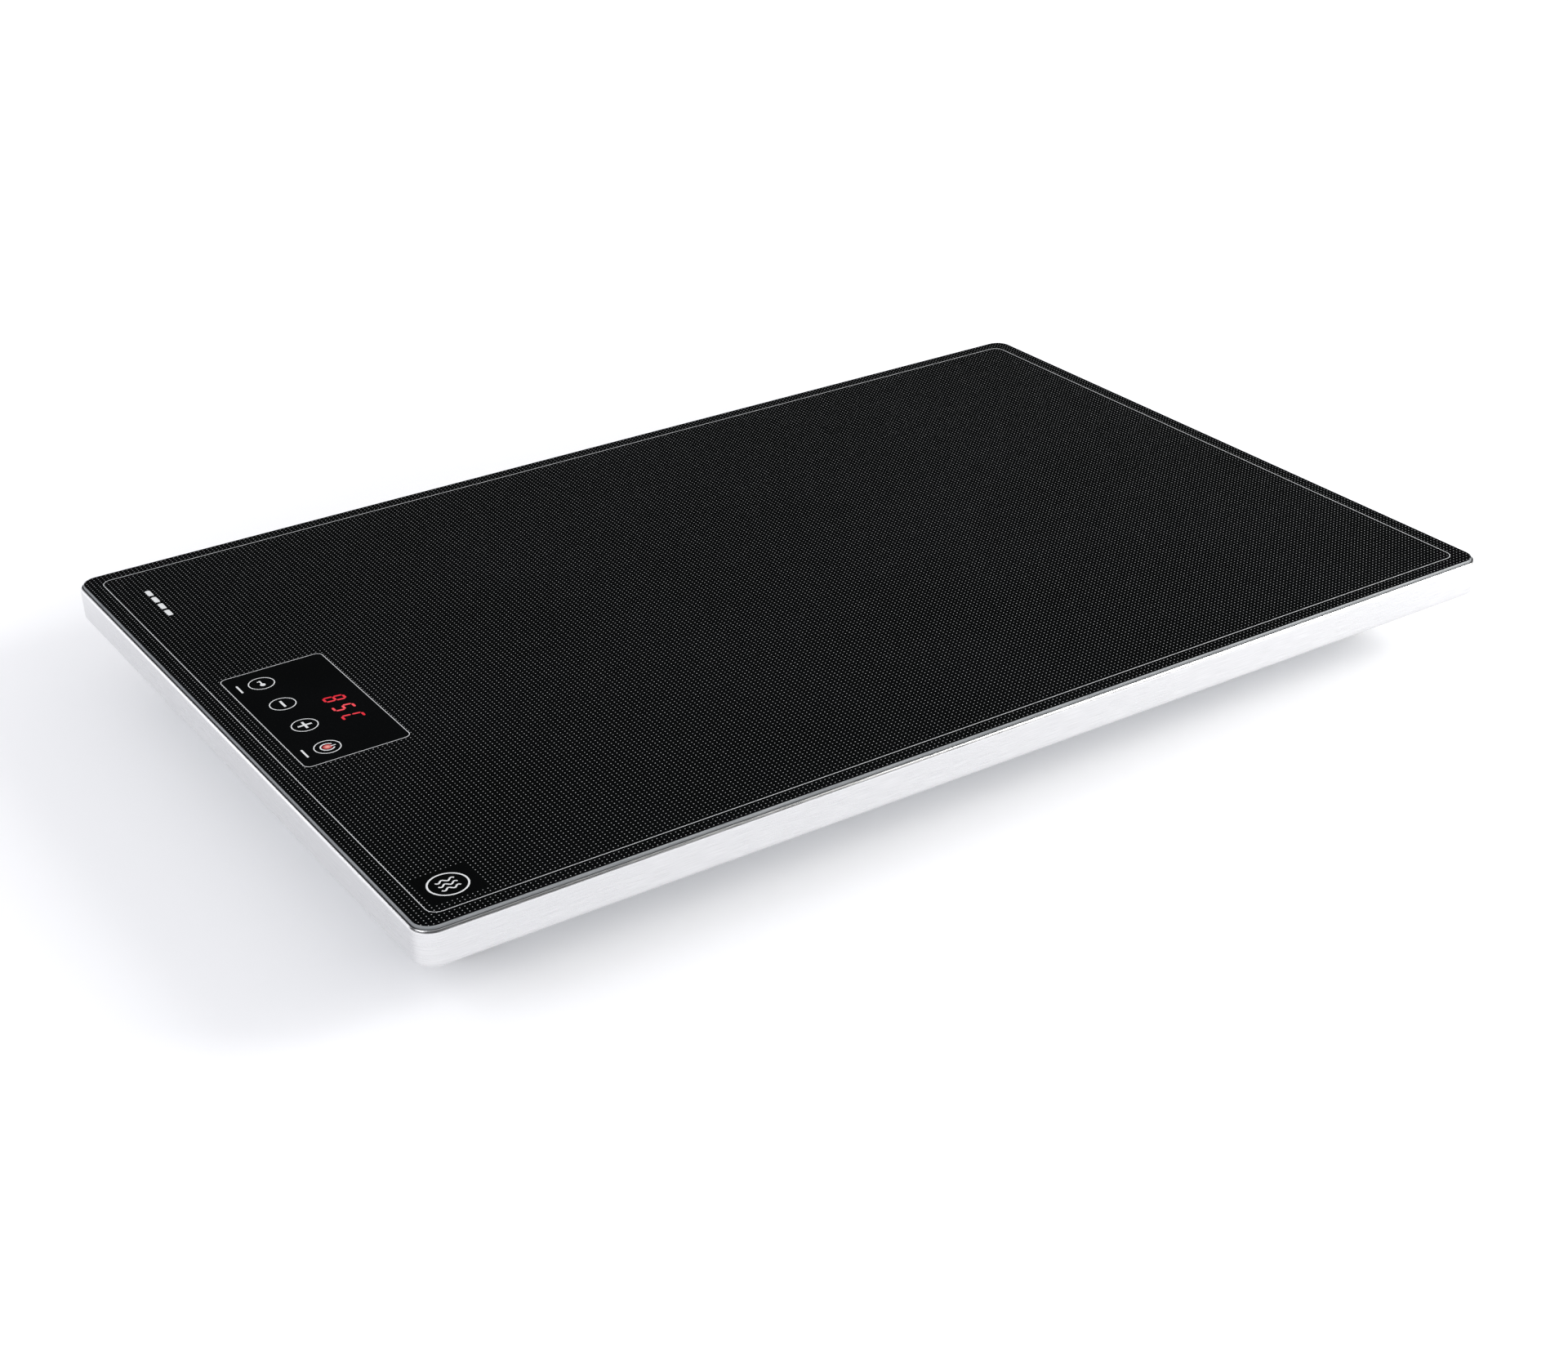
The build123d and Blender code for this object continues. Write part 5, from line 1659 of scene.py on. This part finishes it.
@dataclass
class Feet:
    """The four turned rubber feet, each with a counterbore for its screw."""

    scatter: Recipe
    radius: float = 12.0 * MM
    bore: float = 2.1 * MM
    counterbore: float = 6.0 * MM
    counterbore_depth: float = 4.4 * MM
    sole: float = 9.9 * MM
    sole_rise: float = 2.4 * MM
    mouth_run: float = 0.5 * MM
    mouth_rise: float = 0.35 * MM
    groove: float = 0.5 * MM
    groove_levels: tuple[float, float, float, float] = (3.9 * MM, 4.2 * MM, 4.8 * MM, 5.1 * MM)
    steps: int = 56
    spread: float = 40.0 * MM

    def build(self) -> bpy.types.Object:
        """Builds one foot and sets it under each corner."""
        low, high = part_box("feet")
        height = high.z - low.z
        inner, outer = self.counterbore, self.radius
        start, sunk, rising, end = self.groove_levels
        profile = soften(
            [
                (self.bore, self.counterbore_depth, 0.0),
                (inner, self.counterbore_depth, 0.3 * MM),
                (inner, self.mouth_rise, 0.0),
                (inner + self.mouth_run, 0.0, 0.4 * MM),
                (self.sole, 0.0, 0.8 * MM),
                (outer, self.sole_rise, 0.9 * MM),
                (outer, start, 0.0),
                (outer - self.groove, sunk, 0.2 * MM),
                (outer - self.groove, rising, 0.2 * MM),
                (outer, end, 0.0),
                (outer, height, 0.6 * MM),
                (self.bore, height, 0.0),
            ],
            4,
        )
        shape = lathe("foot", profile, self.steps)
        feet = set_on_solids(self.scatter, "rubber_feet", shape, "feet", self.spread, FOOT_RUBBER)
        return enlist(feet, "rubber_foot", "feet")


@dataclass
class CarriedNodes:
    """The CAD nodes that keep their own shape: each gets the finish of its material slot."""

    dressed: list[str] = field(default_factory=list)

    def dress(self) -> None:
        """Dresses every node, hidden or shown."""
        for name, node in sorted(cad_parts.items()):
            slot = node.data.materials[0].name
            for place in range(len(node.data.materials)):
                node.data.materials[place] = SLOT_FINISHES[slot].material()
            self.dressed.append(name)
            LOG.info("%s: %s", name, SLOT_FINISHES[slot].name)


# ---------------------------------------------------------------- studio


def aimed(
    name: str, data: bpy.types.ID, place: Spot, aim: Spot, roll_deg: float = 0.0
) -> bpy.types.Object:
    """Stands a camera or a lamp in the scene and turns it to face a point.

    Args:
        name: the new object's name.
        data: the camera or the lamp.
        place: where it stands.
        aim: the point it faces.
        roll_deg: its turn about the way it faces.

    Returns:
        The object.
    """
    made = new_object(name, data)
    gaze = (Vector(aim) - Vector(place)).to_track_quat("-Z", "Y")
    made.rotation_mode = "QUATERNION"
    made.rotation_quaternion = gaze @ Quaternion((0, 0, 1), math.radians(roll_deg))
    made.location = place
    return made


@dataclass
class StudioCamera:
    """The camera over the front right corner, a little above the plate."""

    place: Spot = (0.9911, -0.6009, 0.5862)
    aim: Spot = (0.1245, -0.0237, 0.0508)
    roll_deg: float = -1.38
    lens_mm: float = 58.72
    sensor_mm: float = 36.0
    shift_x: float = -0.05946

    def build(self) -> bpy.types.Object:
        """Makes the camera and sets it as the scene's."""
        data = bpy.data.cameras.new("studio_camera")
        data.lens = self.lens_mm
        data.sensor_width = self.sensor_mm
        data.shift_x = self.shift_x
        camera = aimed("studio_camera", data, self.place, self.aim, self.roll_deg)
        bpy.context.scene.camera = camera
        return camera


@dataclass(frozen=True)
class SoftLight:
    """A square soft box."""

    name: str
    place: Spot
    aim: Spot
    size: float
    watts: float
    colour: str

    def build(self) -> None:
        """Makes the light."""
        data = bpy.data.lights.new(self.name, "AREA")
        data.shape = "SQUARE"
        data.size = self.size
        data.energy = self.watts
        data.color = linear(self.colour)[:3]
        aimed(self.name, data, self.place, self.aim)


@dataclass
class Studio:
    """A pale light table with a painted shadow round its middle, in a soft, pale room whose walls stay
    dark in polished faces.
    """

    floor_half: float = 9.0
    room_light: float = 0.68
    backdrop_light: float = 1.05
    # the heights between which a gloss sees each band of the room change, and the light it gets
    overhead: tuple[Point, Point] = ((0.66, 0.9), (0.012, 0.55))
    skirting: Point = (0.12, 0.02)
    lights: tuple[SoftLight, ...] = (
        SoftLight("key_light", (0.95, 1.2, 0.75), (0.38, 0.4, 0.0), 0.7, 21.0, "FFFEFA"),
        SoftLight("fill_light", (0.2, -1.9, 1.7), (0.0, -0.4, 0.0), 1.4, 14.0, "FCFCFF"),
        SoftLight("side_light", (-1.7, -1.5, 0.42), (-0.1, -0.29, 0.05), 0.7, 3.0, "FCFCFF"),
    )

    def build(self) -> None:
        """Builds the floor, the room's light and the lamps."""
        bpy.context.scene.view_settings.view_transform = "Standard"
        self._floor()
        self._room()
        for light in self.lights:
            light.build()

    def _floor(self) -> None:
        """The light table, with its top at z 0 and a painted shadow round its middle."""
        half = self.floor_half
        mesh = bpy.data.meshes.new("studio_floor")
        mesh.from_pydata(
            [(-half, -half, 0), (half, -half, 0), (half, half, 0), (-half, half, 0)], [], [(0, 1, 2, 3)]
        )
        floor = new_object("studio_floor", mesh)
        mesh.materials.append(LightTableWithPaintedShadow("pale_acrylic_table").material())

    def _room(self) -> None:
        """The room: white where it is seen, soft where it lights, and dark low down in a gloss."""
        world = bpy.data.worlds.new("pale_room")
        world.use_nodes = True
        tree = world.node_tree
        tree.nodes.clear()
        rays = add_node(tree, "ShaderNodeLightPath")
        way = add_node(tree, "ShaderNodeTexCoord")
        height = add_node(tree, "ShaderNodeSeparateXYZ", {0: way.outputs["Generated"]})
        overhead = span(tree, height.outputs["Z"], *self.overhead, soft=True)
        skirting = span(tree, height.outputs["Z"], self.skirting, soft=True)
        mirrored = add_node(tree, "ShaderNodeMath", {0: overhead, 1: skirting}, operation="ADD")
        white = {"Color": linear("FFFFFF"), "Strength": self.backdrop_light}
        seen = add_node(tree, "ShaderNodeBackground", white)
        gloss = add_node(tree, "ShaderNodeBackground", {"Color": linear("F4F6FA"), "Strength": mirrored})
        soft = add_node(
            tree, "ShaderNodeBackground", {"Color": linear("F4F5F8"), "Strength": self.room_light}
        )
        lit = add_node(tree, "ShaderNodeMixShader", {0: rays.outputs["Is Glossy Ray"], 1: soft, 2: gloss})
        room = add_node(tree, "ShaderNodeMixShader", {0: rays.outputs["Is Camera Ray"], 1: lit, 2: seen})
        add_node(tree, "ShaderNodeOutputWorld", {"Surface": room})
        bpy.context.scene.world = world


def main() -> None:
    """Builds the sub-assemblies in order and reports each piece."""
    logging.basicConfig(level=logging.INFO, format="%(message)s")
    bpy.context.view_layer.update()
    StudioCamera().build()
    Studio().build()
    CarriedNodes().dress()
    marks = PrintedMarks(stroke_recipe())
    GlassTop(bare=marks.bare_zones()).build()
    marks.build()
    DisplayDigits().build()
    PowerGlow().build()
    RimTray().build()
    scatter = scatter_recipe()
    Fasteners(scatter).build()
    Feet(scatter).build()


if __name__ == "__main__":
    main()
